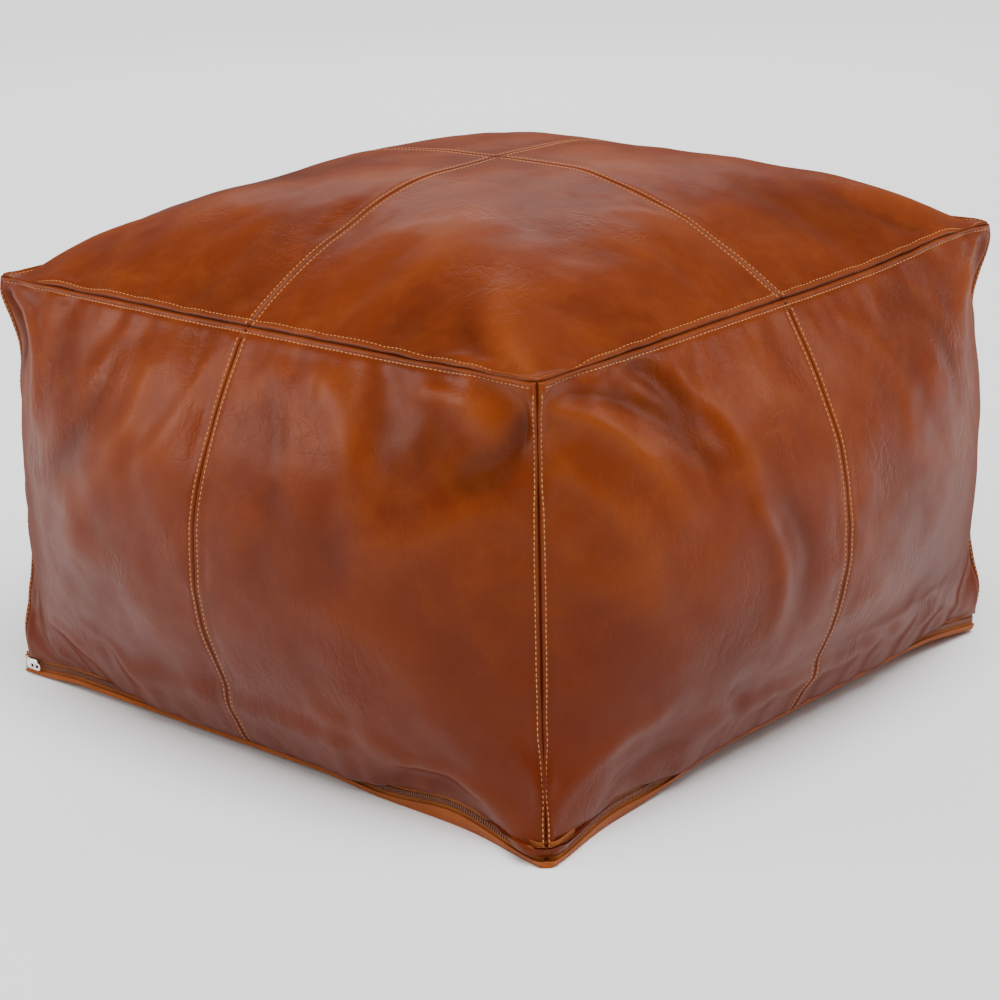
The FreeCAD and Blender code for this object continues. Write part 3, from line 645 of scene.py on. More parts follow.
def plateau(value, start, full, last, end):
    """Rises smoothly from 0 at the start to 1 between full and last, and falls to 0 at the end."""
    share = np.minimum(np.clip((value - start) / (full - start), 0, 1), np.clip((end - value) / (end - last), 0, 1))
    return share * share * (3 - 2 * share)


def edge_lift(x, y):
    """How far the base's edge stands off the floor, because the pouf rests on the middle of its base."""
    front = 4.5 * MM * plateau(x, -0.285, -0.22, 0.06, 0.14) * np.clip((-y - 0.20) / 0.08, 0, 1)
    right = 14 * MM * plateau(y, -0.22, -0.06, 0.19, 0.34) * np.clip((x - 0.20) / 0.08, 0, 1)
    back = 6 * MM * plateau(x, -0.26, -0.10, 0.20, 0.34) * np.clip((y - 0.20) / 0.08, 0, 1)
    return np.maximum(np.maximum(front, right), back)


def zip_lift(x, y):
    """How far the zip and the hem stand above their flat place round the foot."""
    wave = sizes().zip_wave
    front = hump(x, 0.205, 0.042) * (np.abs(y + HALF) < 40 * MM)
    right = hump(y, -0.215, 0.036) * (np.abs(x - HALF) < 40 * MM)
    return wave * (front + 0.6 * right) + edge_lift(x, y)


def corner_flare(x, y):
    """How far the foot spreads outwards along the front corner's diagonal."""
    return 17 * MM * hump(np.hypot(x - HALF, y + HALF), 0, 52 * MM)


def spread_corner(points, share=1.0):
    """Moves points with the spread of the front corner."""
    step = share * corner_flare(points[:, 0], points[:, 1])
    points[:, 0] += step
    points[:, 1] -= step


def sag_over_zip(cut, points):
    """Lets the leather above the hem hang over the zip, where the stuffing presses it down."""
    above = cut[:, 2] - FOOT
    drop = 14 * MM * hump(above, 8 * MM, 10 * MM) * (1 - np.exp(-((above / (3 * MM)) ** 2)))
    out = 8 * MM * np.sin(np.pi * np.clip(above / (58 * MM), 0, 1)) ** 2
    tip = np.hypot(cut[:, 0] - HALF, cut[:, 1] + HALF)
    points[:, 2] -= 0.95 * drop * hump(tip, 0, 48 * MM)
    spread = 2.5 * MM * hump(tip, 0, 60 * MM) * np.clip(1 - above / (50 * MM), 0, 1)
    points[:, 0] += spread
    points[:, 1] -= spread
    spread_corner(points, np.clip(1 - above / (120 * MM), 0, 1) ** 2)
    for name, (x, y) in OUTWARD.items():
        share = plateau(along_face(cut, name), *OVERHANGS[name]) * on_face(cut, name)
        points[:, 0] += x * out * share
        points[:, 1] += y * out * share
        points[:, 2] -= drop * share


FOOT_RADIUS = 13 * MM
ZIP_RADIUS = 19 * MM
EAR_RADIUS = 9 * MM


def round_in(points, radius):
    """Rounds the corners of a square ring of points, seen from above."""
    centre = HALF - radius
    beyond = np.abs(points[:, :2]) - centre[:, None]
    length = np.maximum(np.linalg.norm(beyond, axis=1), HAIR)
    rounded = beyond * (beyond.max(axis=1) / length)[:, None] + centre[:, None]
    corner = (beyond.min(axis=1) > 0) & (radius > HAIR)
    points[:, :2] = np.where(corner[:, None], np.sign(points[:, :2]) * rounded, points[:, :2])


def round_corners(cut, points):
    """Rounds the cover's corners at the foot, where they follow the zip, and at the tips of the ears."""
    low = np.clip(1 - (cut[:, 2] - FOOT) / (45 * MM), 0, 1)
    high = np.clip(1 - (RIM - cut[:, 2]) / (30 * MM), 0, 1)
    round_in(points, FOOT_RADIUS * low * low * (3 - 2 * low) + EAR_RADIUS * high)


def drape_cover(piece):
    """Adds seams, folds and the lifted hem to the settled cover, and notes where it is rubbed and carries a painted
    highlight, and where it lies in painted shade.
    """
    cut = read_attribute(piece.data, "cut")
    points = read_points(piece.data)
    normals = read_normals(piece.data)
    folds = fold_height(cut)
    seams = seam_height(cut)
    points += normals * (folds + seams)[:, None]
    level = level_of(cut)
    points[:, 2] += zip_lift(points[:, 0], points[:, 1]) * np.clip(1 - level / 0.26, 0, 1) ** 1.3
    sag_over_zip(cut, points)
    round_corners(cut, points)
    write_points(piece.data, points)
    edge, cross = seam_distance(cut)
    nearest = np.minimum(edge, cross)
    # Painted shade: darkest along every seam and in the hollows of the folds.
    write_attribute(piece.data, "shade", np.exp(-((nearest / (1.0 * MM)) ** 2)) + np.clip(-folds / (4 * MM), 0, 0.6))
    # Rubbed dye and painted highlight: lighter on raised folds and on the roll beside each seam.
    write_attribute(piece.data, "rub_and_highlight", np.clip(folds / (5 * MM), 0, 0.8) + 0.5 * hump(nearest, 2.6 * MM, 1.4 * MM))


def in_panel(centres, name):
    """Whether faces of the flat cover belong to one panel."""
    if name in TOP_PANELS:
        x, y = TOP_PANELS[name]
        return (centres[:, 2] > RIM - HAIR) & (centres[:, 0] * x > 0) & (centres[:, 1] * y > 0)
    face, side = SIDE_PANELS[name]
    x, y = OUTWARD[face]
    out = centres[:, 0] * x + centres[:, 1] * y
    across = centres[:, 1] if x else centres[:, 0]
    return (out > HALF - HAIR) & (across * side > 0)


def flat_centres(mesh):
    """The centre of each face on the flat leather."""
    cut = read_attribute(mesh, "cut")
    centres = np.empty((len(mesh.polygons), 3))
    for polygon in mesh.polygons:
        centres[polygon.index] = cut[list(polygon.vertices)].mean(axis=0)
    return centres


def part_panel(cover, name):
    """Parts one panel from the cover and gives it the leather's thickness."""
    chosen = np.nonzero(in_panel(flat_centres(cover.data), name))[0]
    select_faces(cover, chosen)
    bpy.ops.mesh.separate(type="SELECTED")
    bpy.ops.object.mode_set(mode="OBJECT")
    piece = next(item for item in bpy.context.selected_objects if item != cover)
    rename(piece, name + "_leather")
    thicken = piece.modifiers.new("thickness", "SOLIDIFY")
    thicken.thickness = sizes().leather_thickness
    thicken.offset = -1
    apply_modifier(piece, thicken)
    smooth(piece, 60)
    return piece


class POUF_OT_cover(bpy.types.Operator):
    """Cut, stuff and settle the leather cover, then part it into its twelve panels"""

    bl_idname = "pouf.cover"
    bl_label = "Leather Cover"

    def execute(self, context):
        cover = cut_cover()
        settle_cover(cover, read_attribute(cover.data, "cut"))
        divide = cover.modifiers.new("divide", "SUBSURF")
        divide.levels = 1
        divide.render_levels = 1
        apply_modifier(cover, divide)
        drape_cover(cover)
        sew_rows(cover)
        leather = leather_material()
        for name in list(TOP_PANELS) + list(SIDE_PANELS):
            piece = part_panel(cover, name)
            give_material(piece, leather)
            finish_piece(piece, "cover", "leather", name)
        bpy.data.objects.remove(cover)
        return {"FINISHED"}


# ---------------------------------------------------------------- topstitching


def add_stitch():
    """One stitch: a short thread whose two ends dive into the leather."""
    deselect_all()
    bpy.ops.mesh.primitive_uv_sphere_add(segments=6, ring_count=5, radius=0.5, location=(0, 0, 0))
    stitch = bpy.context.object
    rename(stitch, "stitch_model")
    stitch.rotation_euler = (0, math.pi / 2, 0)
    bpy.ops.object.transform_apply(location=False, rotation=True, scale=False)
    stitch.scale = (sizes().stitch_length, sizes().thread, sizes().thread)
    bpy.ops.object.transform_apply(location=False, rotation=False, scale=True)
    points = read_points(stitch.data)
    share = points[:, 0] / (sizes().stitch_length / 2)
    points[:, 2] -= 0.45 * sizes().thread * share**2
    write_points(stitch.data, points)
    return stitch


def repeat_model(model, name, places, along, upward):
    """One mesh with the model copied to every place, turned to its run and its upward direction."""
    shape = read_points(model.data)
    corners = [tuple(polygon.vertices) for polygon in model.data.polygons]
    along = along / np.linalg.norm(along, axis=1)[:, None]
    across = np.cross(upward, along)
    across = across / np.linalg.norm(across, axis=1)[:, None]
    upward = np.cross(along, across)
    points = (places[:, None, :] + shape[None, :, 0:1] * along[:, None, :]
              + shape[None, :, 1:2] * across[:, None, :] + shape[None, :, 2:3] * upward[:, None, :])
    count = len(shape)
    faces = [[corner + copy * count for corner in face] for copy in range(len(places)) for face in corners]
    mesh = bpy.data.meshes.new(name)
    mesh.from_pydata(points.reshape(-1, 3).tolist(), [], faces)
    mesh.update()
    piece = bpy.data.objects.new(name, mesh)
    bpy.context.collection.objects.link(piece)
    return piece


def space_along(points, normals, pitch, margin):
    """Places at an even pitch along a row of points, with the run and the normal at each."""
    steps = np.linalg.norm(np.diff(points, axis=0), axis=1)
    reach = np.concatenate([[0], np.cumsum(steps)])
    count = int((reach[-1] - 2 * margin) / pitch)
    start = (reach[-1] - count * pitch) / 2
    marks = start + pitch * np.arange(count + 1)
    places = np.stack([np.interp(marks, reach, points[:, axis]) for axis in range(3)], axis=1)
    upward = np.stack([np.interp(marks, reach, normals[:, axis]) for axis in range(3)], axis=1)
    ahead = np.stack([np.interp(marks + 1 * MM, reach, points[:, axis]) for axis in range(3)], axis=1)
    behind = np.stack([np.interp(marks - 1 * MM, reach, points[:, axis]) for axis in range(3)], axis=1)
    return places, ahead - behind, upward


def row_of(cut, points, normals, chosen, order):
    """The cover's points on one row, in order along it."""
    numbers = np.nonzero(chosen)[0]
    numbers = numbers[np.argsort(cut[numbers, order])]
    return points[numbers], normals[numbers]


def near(values, place):
    return np.abs(values - place) < 0.05 * MM


def rows_for(cut, points, normals):
    """Every topstitched row of the cover, listed under the CAD node that it stands for."""
    edge_row = sizes().edge_row
    corner_row = sizes().corner_row
    cross_row = sizes().cross_row
    x, y, z = cut.T
    top = on_top(cut)
    rows = {name: [] for name in ("top_cross_stitching", "side_middle_stitching", "corner_stitching",
                                  "top_edge_stitching", "top_rim_stitching")}

    def add(name, chosen, order):
        rows[name].append(row_of(cut, points, normals, chosen, order))

    for side in (-1, 1):
        for half in (-1, 1):
            add("top_cross_stitching", top & near(x, side * cross_row) & (y * half > cross_row), 1)
            add("top_cross_stitching", top & near(y, side * cross_row) & (x * half > cross_row), 0)
        add("top_edge_stitching", top & near(x, side * (HALF - edge_row)) & (np.abs(y) < HALF - edge_row), 1)
        add("top_edge_stitching", top & near(y, side * (HALF - edge_row)) & (np.abs(x) < HALF - edge_row), 0)
    for name, (face_x, face_y) in OUTWARD.items():
        face = on_face(cut, name)
        across = y if face_x else x
        order = 1 if face_x else 0
        add("top_rim_stitching", face & near(z, RIM - edge_row) & (np.abs(across) < HALF - corner_row), order)
        for side in (-1, 1):
            add("side_middle_stitching", face & near(across, side * cross_row) & (z < RIM - edge_row), 2)
            add("corner_stitching", face & near(across, side * (HALF - corner_row)) & (z < RIM - edge_row), 2)
    return rows


def sew_rows(cover):
    """Sews the topstitching along the cover's rows."""
    cut = read_attribute(cover.data, "cut")
    points = read_points(cover.data)
    normals = read_normals(cover.data)
    stitch = add_stitch()
    thread = thread_material()
    for name, rows in rows_for(cut, points, normals).items():
        spaced = [space_along(*row, sizes().stitch_pitch, 3 * MM) for row in rows]
        places, along, upward = (np.concatenate(parts) for parts in zip(*spaced))
        upward = upward / np.linalg.norm(upward, axis=1)[:, None]
        places = places + upward * 0.12 * MM
        piece = repeat_model(stitch, name.replace("stitching", "stitches"), places, along, upward)
        smooth(piece, 80)
        give_material(piece, thread)
        finish_piece(piece, "cover", "thread", name)
    bpy.data.objects.remove(stitch)


class POUF_OT_hem_stitches(bpy.types.Operator):
    """Sew the row that holds the base's hinge to the leather"""

    bl_idname = "pouf.hem_stitches"
    bl_label = "Hem Stitches"

    def execute(self, context):
        low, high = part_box("base_hem_stitching")
        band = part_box("hinge_band")
        ends = np.array([[band[0][0], low[1], (low[2] + high[2]) / 2], [band[0][0], high[1], (low[2] + high[2]) / 2]])
        outward = np.tile((-1.0, 0.0, 0.0), (2, 1))
        places, along, upward = space_along(ends, outward, sizes().stitch_pitch, 0)
        stitch = add_stitch()
        piece = repeat_model(stitch, "base_hem_stitches", places + upward * 0.12 * MM, along, upward)
        bpy.data.objects.remove(stitch)
        smooth(piece, 80)
        give_material(piece, thread_material())
        finish_piece(piece, "cover", "thread", "base_hem_stitching")
        return {"FINISHED"}


# ---------------------------------------------------------------- zip


def path_of_zip(start):
    """The zip's line round the front, right and back of the foot, seen from above, as points."""
    low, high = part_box("lower_zip_tape")
    plane = high[1] - 0.4 * MM
    line = [(start, -plane)]
    for side, first, radius in ((-1, -90, ZIP_RADIUS), (1, 0, FOOT_RADIUS)):
        bend = plane - radius
        for step in range(0, 91, 15):
            angle = math.radians(first + step)
            line.append((bend + radius * math.cos(angle), side * bend + radius * math.sin(angle)))
    line.append((start, plane))
    flat = np.array([(x, y, 0.0) for x, y in line])
    return flat


def walk_line(line, pitch):
    """Even steps along a flat line, with the run at each."""
    steps = np.linalg.norm(np.diff(line, axis=0), axis=1)
    reach = np.concatenate([[0], np.cumsum(steps)])
    marks = np.arange(pitch / 2, reach[-1], pitch)
    places = np.stack([np.interp(marks, reach, line[:, axis]) for axis in range(3)], axis=1)
    ahead = np.stack([np.interp(marks + 1 * MM, reach, line[:, axis]) for axis in range(3)], axis=1)
    behind = np.stack([np.interp(marks - 1 * MM, reach, line[:, axis]) for axis in range(3)], axis=1)
    return places, ahead - behind


def add_tooth(name, low, high):
    """One loop of the nylon coil: a block with its edges bevelled."""
    depth = 2.2 * MM
    width = 0.62 * sizes().tooth_pitch
    tooth = add_box(name, (-width / 2, -depth / 2, low), (width / 2, depth / 2, high))
    bpy.ops.object.mode_set(mode="EDIT")
    bpy.ops.mesh.select_all(action="SELECT")
    bpy.ops.mesh.bevel(offset=0.45 * MM, segments=1, affect="EDGES")
    bpy.ops.object.mode_set(mode="OBJECT")
    return tooth


def sew_teeth(name, node, body, low, high, shift):
    """A row of teeth along the zip, standing for one CAD coil."""
    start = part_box(node)[0][0]
    places, along = walk_line(path_of_zip(start), sizes().tooth_pitch)
    places = places + along / np.linalg.norm(along, axis=1)[:, None] * shift
    places[:, 2] += zip_lift(places[:, 0], places[:, 1])
    spread_corner(places)
    tooth = add_tooth(name + "_model", low, high)
    upward = np.tile((0.0, 0.0, 1.0), (len(places), 1))
    piece = repeat_model(tooth, name, places, along, upward)
    bpy.data.objects.remove(tooth)
    smooth(piece, 30)
    give_material(piece, coil_material())
    finish_piece(piece, body, "zip_coil", node)


TAPE_CUT = 12 * MM


def wave_tape(node, name, body):
    """A tape copied from its CAD node and bent to the zip's wave."""
    piece = copy_node(node, name)
    low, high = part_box(node)
    count = int((high[0] - low[0]) / TAPE_CUT)
    places = [low[0] + (high[0] - low[0]) * step / count for step in range(1, count)]
    places += [side * (HALF - step * MM) for side in (-1, 1) for step in (5, 9, 14, 18)]
    cut_along(piece, (1, 0, 0), places)
    cut_along(piece, (0, 1, 0), places)
    points = read_points(piece.data)
    round_in(points, np.where(points[:, 1] < 0, ZIP_RADIUS, FOOT_RADIUS) * (points[:, 0] > 0))
    points[:, 2] += zip_lift(points[:, 0], points[:, 1])
    spread_corner(points)
    write_points(piece.data, points)
    smooth(piece, 30)
    give_material(piece, tape_material())
    finish_piece(piece, body, "zip_tape", node)


class POUF_OT_zip(bpy.types.Operator):
    """Make the zip: two tapes, two rows of teeth, the slider with its pull and the stops"""

    bl_idname = "pouf.zip"
    bl_label = "Zip"

    def execute(self, context):
        wave_tape("lower_zip_tape", "lower_tape", "base_flap")
        wave_tape("upper_zip_tape", "upper_tape", "cover")
        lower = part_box("lower_zip_coil")
        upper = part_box("upper_zip_coil")
        meet = (lower[1][2] + upper[0][2]) / 2
        half = sizes().tooth_pitch / 2
        sew_teeth("lower_teeth", "lower_zip_coil", "base_flap", lower[0][2], meet + 0.5 * MM, 0)
        sew_teeth("upper_teeth", "upper_zip_coil", "cover", meet - 0.5 * MM, upper[1][2], half)
        metal = metal_material("slider_metal", colours().metal, 0.16)
        for node in ("zip_slider", "zip_pull"):
            clad_node(node, metal)
        satin = metal_material("stop_metal", colours().metal, 0.38)
        for node in ("zip_top_stop", "zip_bottom_stop"):
            clad_node(node, satin)
        return {"FINISHED"}


def clad_node(node, material):
    """Gives a CAD node that keeps its shape a better finish."""
    for slot in bpy.data.objects[node].material_slots:
        slot.material = material


# ---------------------------------------------------------------- base


TUCK = 2.6 * MM
RIM_STRIP = 3 * MM
BASE_RADIUS = 11 * MM


def shape_base(points, height):
    """Lifts the base's edge with the zip and tucks the foot of its rim under."""
    outline = np.maximum(points[:, 0], np.abs(points[:, 1]))
    at_rim = np.clip((outline - (HALF - 3 * RIM_STRIP)) / (2 * RIM_STRIP), 0, 1)
    raised = np.clip(points[:, 2] / height, 0, 1)
    lift = edge_lift(points[:, 0], points[:, 1])
    wave = (zip_lift(points[:, 0], points[:, 1]) - lift) * at_rim * raised
    low_share = np.clip(1 - points[:, 2] / (1 * MM), 0, 1)
    beyond = np.clip(np.abs(points[:, :2]) - (HALF - RIM_STRIP), 0, RIM_STRIP) / RIM_STRIP
    beyond[:, 0] *= points[:, 0] > 0
    points[:, :2] -= np.sign(points[:, :2]) * TUCK * beyond * low_share[:, None]
    points[:, 2] += lift + wave
    round_in(points, np.where(points[:, 0] > 0, BASE_RADIUS, 0))
    spread_corner(points)
    return points


class POUF_OT_base(bpy.types.Operator):
    """Make the suede base with its rounded rim, and the leather band that it hinges on"""

    bl_idname = "pouf.base"
    bl_label = "Suede Base"

    def execute(self, context):
        piece = copy_node("base_panel", "base_suede")
        low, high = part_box("base_panel")
        count = int((high[0] - low[0]) / TAPE_CUT)
        places = [low[0] + (high[0] - low[0]) * step / count for step in range(1, count)]
        places += [side * (HALF - step * MM) for side in (-1, 1) for step in (2, 5, 9)]
        cut_along(piece, (1, 0, 0), places)
        cut_along(piece, (0, 1, 0), places)
        write_points(piece.data, shape_base(read_points(piece.data), high[2]))
        smooth(piece, 40)
        give_material(piece, suede_material())
        finish_piece(piece, "base_flap", "base_suede", "base_panel")
        clad_node("hinge_band", leather_material())
        return {"FINISHED"}


# ---------------------------------------------------------------- insert

INSERT_STEPS = (0, 3, 10, 22)


def cut_insert(name, margin):
    """A box for the insert's bag or its filling, divided evenly, as far inside the CAD bag as the margin."""
    low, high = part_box("insert_bottom_panel")
    foot = low[2] + margin
    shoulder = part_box("insert_front_panel")[1][2] - margin
    half = high[0] - margin
    piece = add_box(name, (-half, -half, foot), (half, half, shoulder))
    across = cut_lines(-half, half, INSERT_STEPS, INSERT_STEPS, 24 * MM)[1:-1]
    upward = cut_lines(foot, shoulder, INSERT_STEPS, INSERT_STEPS, 24 * MM)[1:-1]
    cut_along(piece, (1, 0, 0), across)
    cut_along(piece, (0, 1, 0), across)
    cut_along(piece, (0, 0, 1), upward)
    return piece, half, foot, shoulder


def fill_insert(name, margin, seed, lump):
    """Fills the insert: bulged sides and crown, lumps of the stuffing, and drawn-in seams."""
    piece, half, foot, shoulder = cut_insert(name, margin)
    cut = read_points(piece.data)
    u = cut[:, 0] / half
    v = cut[:, 1] / half
    level = (cut[:, 2] - foot) / (shoulder - foot)
    tall = 1 - (2 * level - 1) ** 2
    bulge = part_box("insert_right_panel")[1][0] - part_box("insert_bottom_panel")[1][0]
    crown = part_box("insert_top_panel")[1][2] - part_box("insert_front_panel")[1][2]
    points = cut.copy()
    points[:, 0] += bulge * 0.72 * (1 - v**2) * tall * (np.abs(u) > 1 - 1e-6) * np.sign(u)
    points[:, 1] += bulge * 0.72 * (1 - u**2) * tall * (np.abs(v) > 1 - 1e-6) * np.sign(v)
    points[:, 2] += crown * 0.80 * (1 - u**2) * (1 - v**2) * (level > 1 - 1e-6)
    write_points(piece.data, points)
    normals = read_normals(piece.data)
    away = np.clip(level * 6, 0, 1)
    height = waves(cut, seed, 70 * MM, lump) + waves(cut, seed + 1, 30 * MM, lump / 3)
    points += normals * (np.minimum(height, lump) * away - lump * 0.5 * away)[:, None]
    points[:, 2] += edge_lift(points[:, 0], points[:, 1]) * np.clip(1 - level / 0.3, 0, 1)
    write_points(piece.data, points)
    divide = piece.modifiers.new("divide", "SUBSURF")
    divide.levels = 1
    divide.render_levels = 1
    apply_modifier(piece, divide)
    return piece


class POUF_OT_insert(bpy.types.Operator):
    """Make the insert: a sewn cotton bag and the fibre inside it"""

    bl_idname = "pouf.insert"
    bl_label = "Insert"

    def execute(self, context):
        bag = fill_insert("cotton_bag", 9 * MM, 31, 2.0 * MM)
        thicken = bag.modifiers.new("thickness", "SOLIDIFY")
        thicken.thickness = 1 * MM
        thicken.offset = -1
        apply_modifier(bag, thicken)
        smooth(bag, 50)
        give_material(bag, cotton_material())
        names = [f"insert_{side}_panel" for side in ("bottom", "front", "right", "back", "left", "top")]
        finish_piece(bag, "cover", "cotton", *names)
        filling = fill_insert("fibre_filling", 14 * MM, 41, 3.0 * MM)
        smooth(filling, 60)
        give_material(filling, fibre_material())
        finish_piece(filling, "cover", "filling", "insert_filling")
        return {"FINISHED"}


# ---------------------------------------------------------------- finishes


def start_material(name):
    """A node material, or the one already made under this name."""
    ready = name in bpy.data.materials
    material = bpy.data.materials[name] if ready else bpy.data.materials.new(name)
    material.use_nodes = True
    return material, ready


def add_node(material, kind, **values):
    """A node with its inputs set by name, where a value may be another node's output."""
    node = material.node_tree.nodes.new(kind)
    for name, value in values.items():
        socket = node.inputs[name.replace("_", " ")]
        if isinstance(value, bpy.types.NodeSocket):
            material.node_tree.links.new(value, socket)
        else:
            socket.default_value = value
    return node


def object_place(material, stretch=(1, 1, 1)):
    """Object coordinates, stretched where a pattern runs along one axis."""
    place = material.node_tree.nodes.new("ShaderNodeTexCoord").outputs["Object"]
    return add_node(material, "ShaderNodeMapping", Vector=place, Scale=stretch).outputs["Vector"]


def cloud(material, place, scale, detail=3.0, roughness=0.5, distortion=0.0):
    return add_node(material, "ShaderNodeTexNoise", Vector=place, Scale=scale, Detail=detail, Roughness=roughness,
                    Distortion=distortion).outputs["Fac"]


def ramp(material, value, low, high, bottom=0.0, top=1.0):
    """A smooth step from one level to another."""
    node = material.node_tree.nodes.new("ShaderNodeMapRange")
    node.interpolation_type = "SMOOTHSTEP"
    material.node_tree.links.new(value, node.inputs["Value"])
    node.inputs["From Min"].default_value = low
    node.inputs["From Max"].default_value = high
    node.inputs["To Min"].default_value = bottom
    node.inputs["To Max"].default_value = top
    return node.outputs["Result"]


def calculate(material, operation, first, second):
    node = material.node_tree.nodes.new("ShaderNodeMath")
    node.operation = operation
    for socket, value in zip(node.inputs, (first, second)):
        if isinstance(value, bpy.types.NodeSocket):
            material.node_tree.links.new(value, socket)
        else:
            socket.default_value = value
    return node.outputs["Value"]


def blend_colour(material, share, first, second):
    node = material.node_tree.nodes.new("ShaderNodeMix")
    node.data_type = "RGBA"
    if isinstance(share, bpy.types.NodeSocket):
        material.node_tree.links.new(share, node.inputs["Factor"])
    else:
        node.inputs["Factor"].default_value = share
    for name, value in (("A", first), ("B", second)):
        socket = next(item for item in node.inputs if item.name == name and item.type == "RGBA")
        if isinstance(value, bpy.types.NodeSocket):
            material.node_tree.links.new(value, socket)
        else:
            socket.default_value = (*value, 1)
    return next(item for item in node.outputs if item.type == "RGBA")


def attribute(material, name):
    node = material.node_tree.nodes.new("ShaderNodeAttribute")
    node.attribute_name = name
    return node.outputs["Fac"]


def relief(material, height, strength, depth, under=None):
    """A bump of a real depth, laid over another where one is given."""
    node = add_node(material, "ShaderNodeBump", Height=height, Strength=strength, Distance=depth)
    if under is not None:
        material.node_tree.links.new(under, node.inputs["Normal"])
    return node.outputs["Normal"]


def shader_of(material, **values):
    shader = material.node_tree.nodes["Principled BSDF"]
    for name, value in values.items():
        socket = shader.inputs[name.replace("_", " ")]
        if isinstance(value, bpy.types.NodeSocket):
            material.node_tree.links.new(value, socket)
        else:
            socket.default_value = value
    return shader


def leather_material():
    """Glazed leather: clouded dye, fine grain, hair creases and a soft glaze, with painted shade at the seams, in
    fold hollows and towards the foot, and rubbed dye with a painted highlight on raised folds and seam rolls.
    """
    material, ready = start_material("glazed_leather")
    if ready:
        return material
    place = object_place(material)
    broad = ramp(material, cloud(material, place, 7, 3, 0.55), 0.34, 0.68)
    middle = ramp(material, cloud(material, place, 26, 4, 0.6, 0.4), 0.40, 0.70)
    fine = ramp(material, cloud(material, place, 150, 3, 0.6), 0.35, 0.75)
    base = blend_colour(material, calculate(material, "MULTIPLY", broad, 0.24), colours().leather,
                        colours().leather_dark)
    base = blend_colour(material, calculate(material, "MULTIPLY", middle, 0.20), base, colours().leather_light)
    base = blend_colour(material, calculate(material, "MULTIPLY", fine, 0.16), base, colours().leather_dark)
    # Rubbed dye and painted highlight on raised folds and seam rolls.
    base = blend_colour(material, calculate(material, "MULTIPLY", attribute(material, "rub_and_highlight"), 0.45), base,
                        colours().leather_light)
    # Painted shade at the seams and in fold hollows, in a near-black brown.
    base = blend_colour(material, calculate(material, "MULTIPLY", attribute(material, "shade"), 0.62), base,
                        tuple(part * 0.25 for part in colours().leather_dark))
    parts = material.node_tree.nodes.new("ShaderNodeSeparateXYZ")
    material.node_tree.links.new(place, parts.inputs[0])
    # Painted shade: the leather turns darker towards the bottom of the pouf.
    wear_and_shade = ramp(material, parts.outputs["Z"], 0.06, 0.34, 0.74, 0.0)
    base = blend_colour(material, wear_and_shade, base, colours().leather_dark)
    grain = add_node(material, "ShaderNodeTexVoronoi", Vector=place, Scale=850.0, Randomness=1.0).outputs["Distance"]
    bent = add_node(material, "ShaderNodeTexNoise", Vector=place, Scale=40.0, Detail=2.0).outputs["Color"]
    shift = material.node_tree.nodes.new("ShaderNodeVectorMath")
    shift.operation = "MULTIPLY_ADD"
    material.node_tree.links.new(bent, shift.inputs[0])
    shift.inputs[1].default_value = (0.02, 0.02, 0.02)
    material.node_tree.links.new(place, shift.inputs[2])
    cells = material.node_tree.nodes.new("ShaderNodeTexVoronoi")
    cells.feature = "DISTANCE_TO_EDGE"
    material.node_tree.links.new(shift.outputs["Vector"], cells.inputs["Vector"])
    cells.inputs["Scale"].default_value = 70.0
    crease = ramp(material, cells.outputs["Distance"], 0.0, 0.09)
    patch = ramp(material, cloud(material, place, 11, 2), 0.46, 0.66)
    lines = calculate(material, "MULTIPLY", calculate(material, "SUBTRACT", 1.0, crease), patch)
    swell = cloud(material, place, 55, 3, 0.55)
    normal = relief(material, swell, 0.30, 1.1 * MM)
    drawn = ramp(material, cloud(material, object_place(material, (1, 1, 0.3)), 75, 4, 0.62, 0.8), 0.42, 0.66)
    normal = relief(material, calculate(material, "MULTIPLY", drawn, patch), 0.30, 0.7 * MM, normal)
    normal = relief(material, calculate(material, "MULTIPLY", lines, -1.0), 0.40, 0.35 * MM, normal)
    normal = relief(material, grain, 0.55, 0.20 * MM, normal)
    rough = ramp(material, cloud(material, place, 33, 4, 0.6), 0.3, 0.7, 0.30, 0.42)
    grazing = add_node(material, "ShaderNodeLayerWeight", Blend=0.5).outputs["Facing"]
    rough = calculate(material, "MAXIMUM", rough, ramp(material, grazing, 0.58, 0.95, 0.30, 0.85))
    shader_of(material, Base_Color=base, Roughness=rough, Normal=normal, Specular_IOR_Level=0.15,
              Specular_Tint=(1.0, 0.66, 0.52, 1.0), Coat_Weight=0.06, Coat_Roughness=0.22, Coat_IOR=1.45)
    return material


def suede_material():
    """Split leather, napped and matte."""
    material, ready = start_material("tan_suede")
    if ready:
        return material
    place = object_place(material)
    nap = cloud(material, place, 420, 4, 0.7)
    clouds = ramp(material, cloud(material, place, 16, 4, 0.6, 0.6), 0.35, 0.7)
    dark = tuple(part * 0.6 for part in colours().suede)
    base = blend_colour(material, calculate(material, "MULTIPLY", clouds, 0.7), colours().suede, dark)
    base = blend_colour(material, calculate(material, "MULTIPLY", nap, 0.35), base,
                        tuple(min(1, part * 1.5) for part in colours().suede))
    normal = relief(material, nap, 0.6, 0.35 * MM)
    shader_of(material, Base_Color=base, Roughness=0.85, Normal=normal, Sheen_Weight=0.10, Sheen_Roughness=0.5,
              Specular_IOR_Level=0.10)
    return material


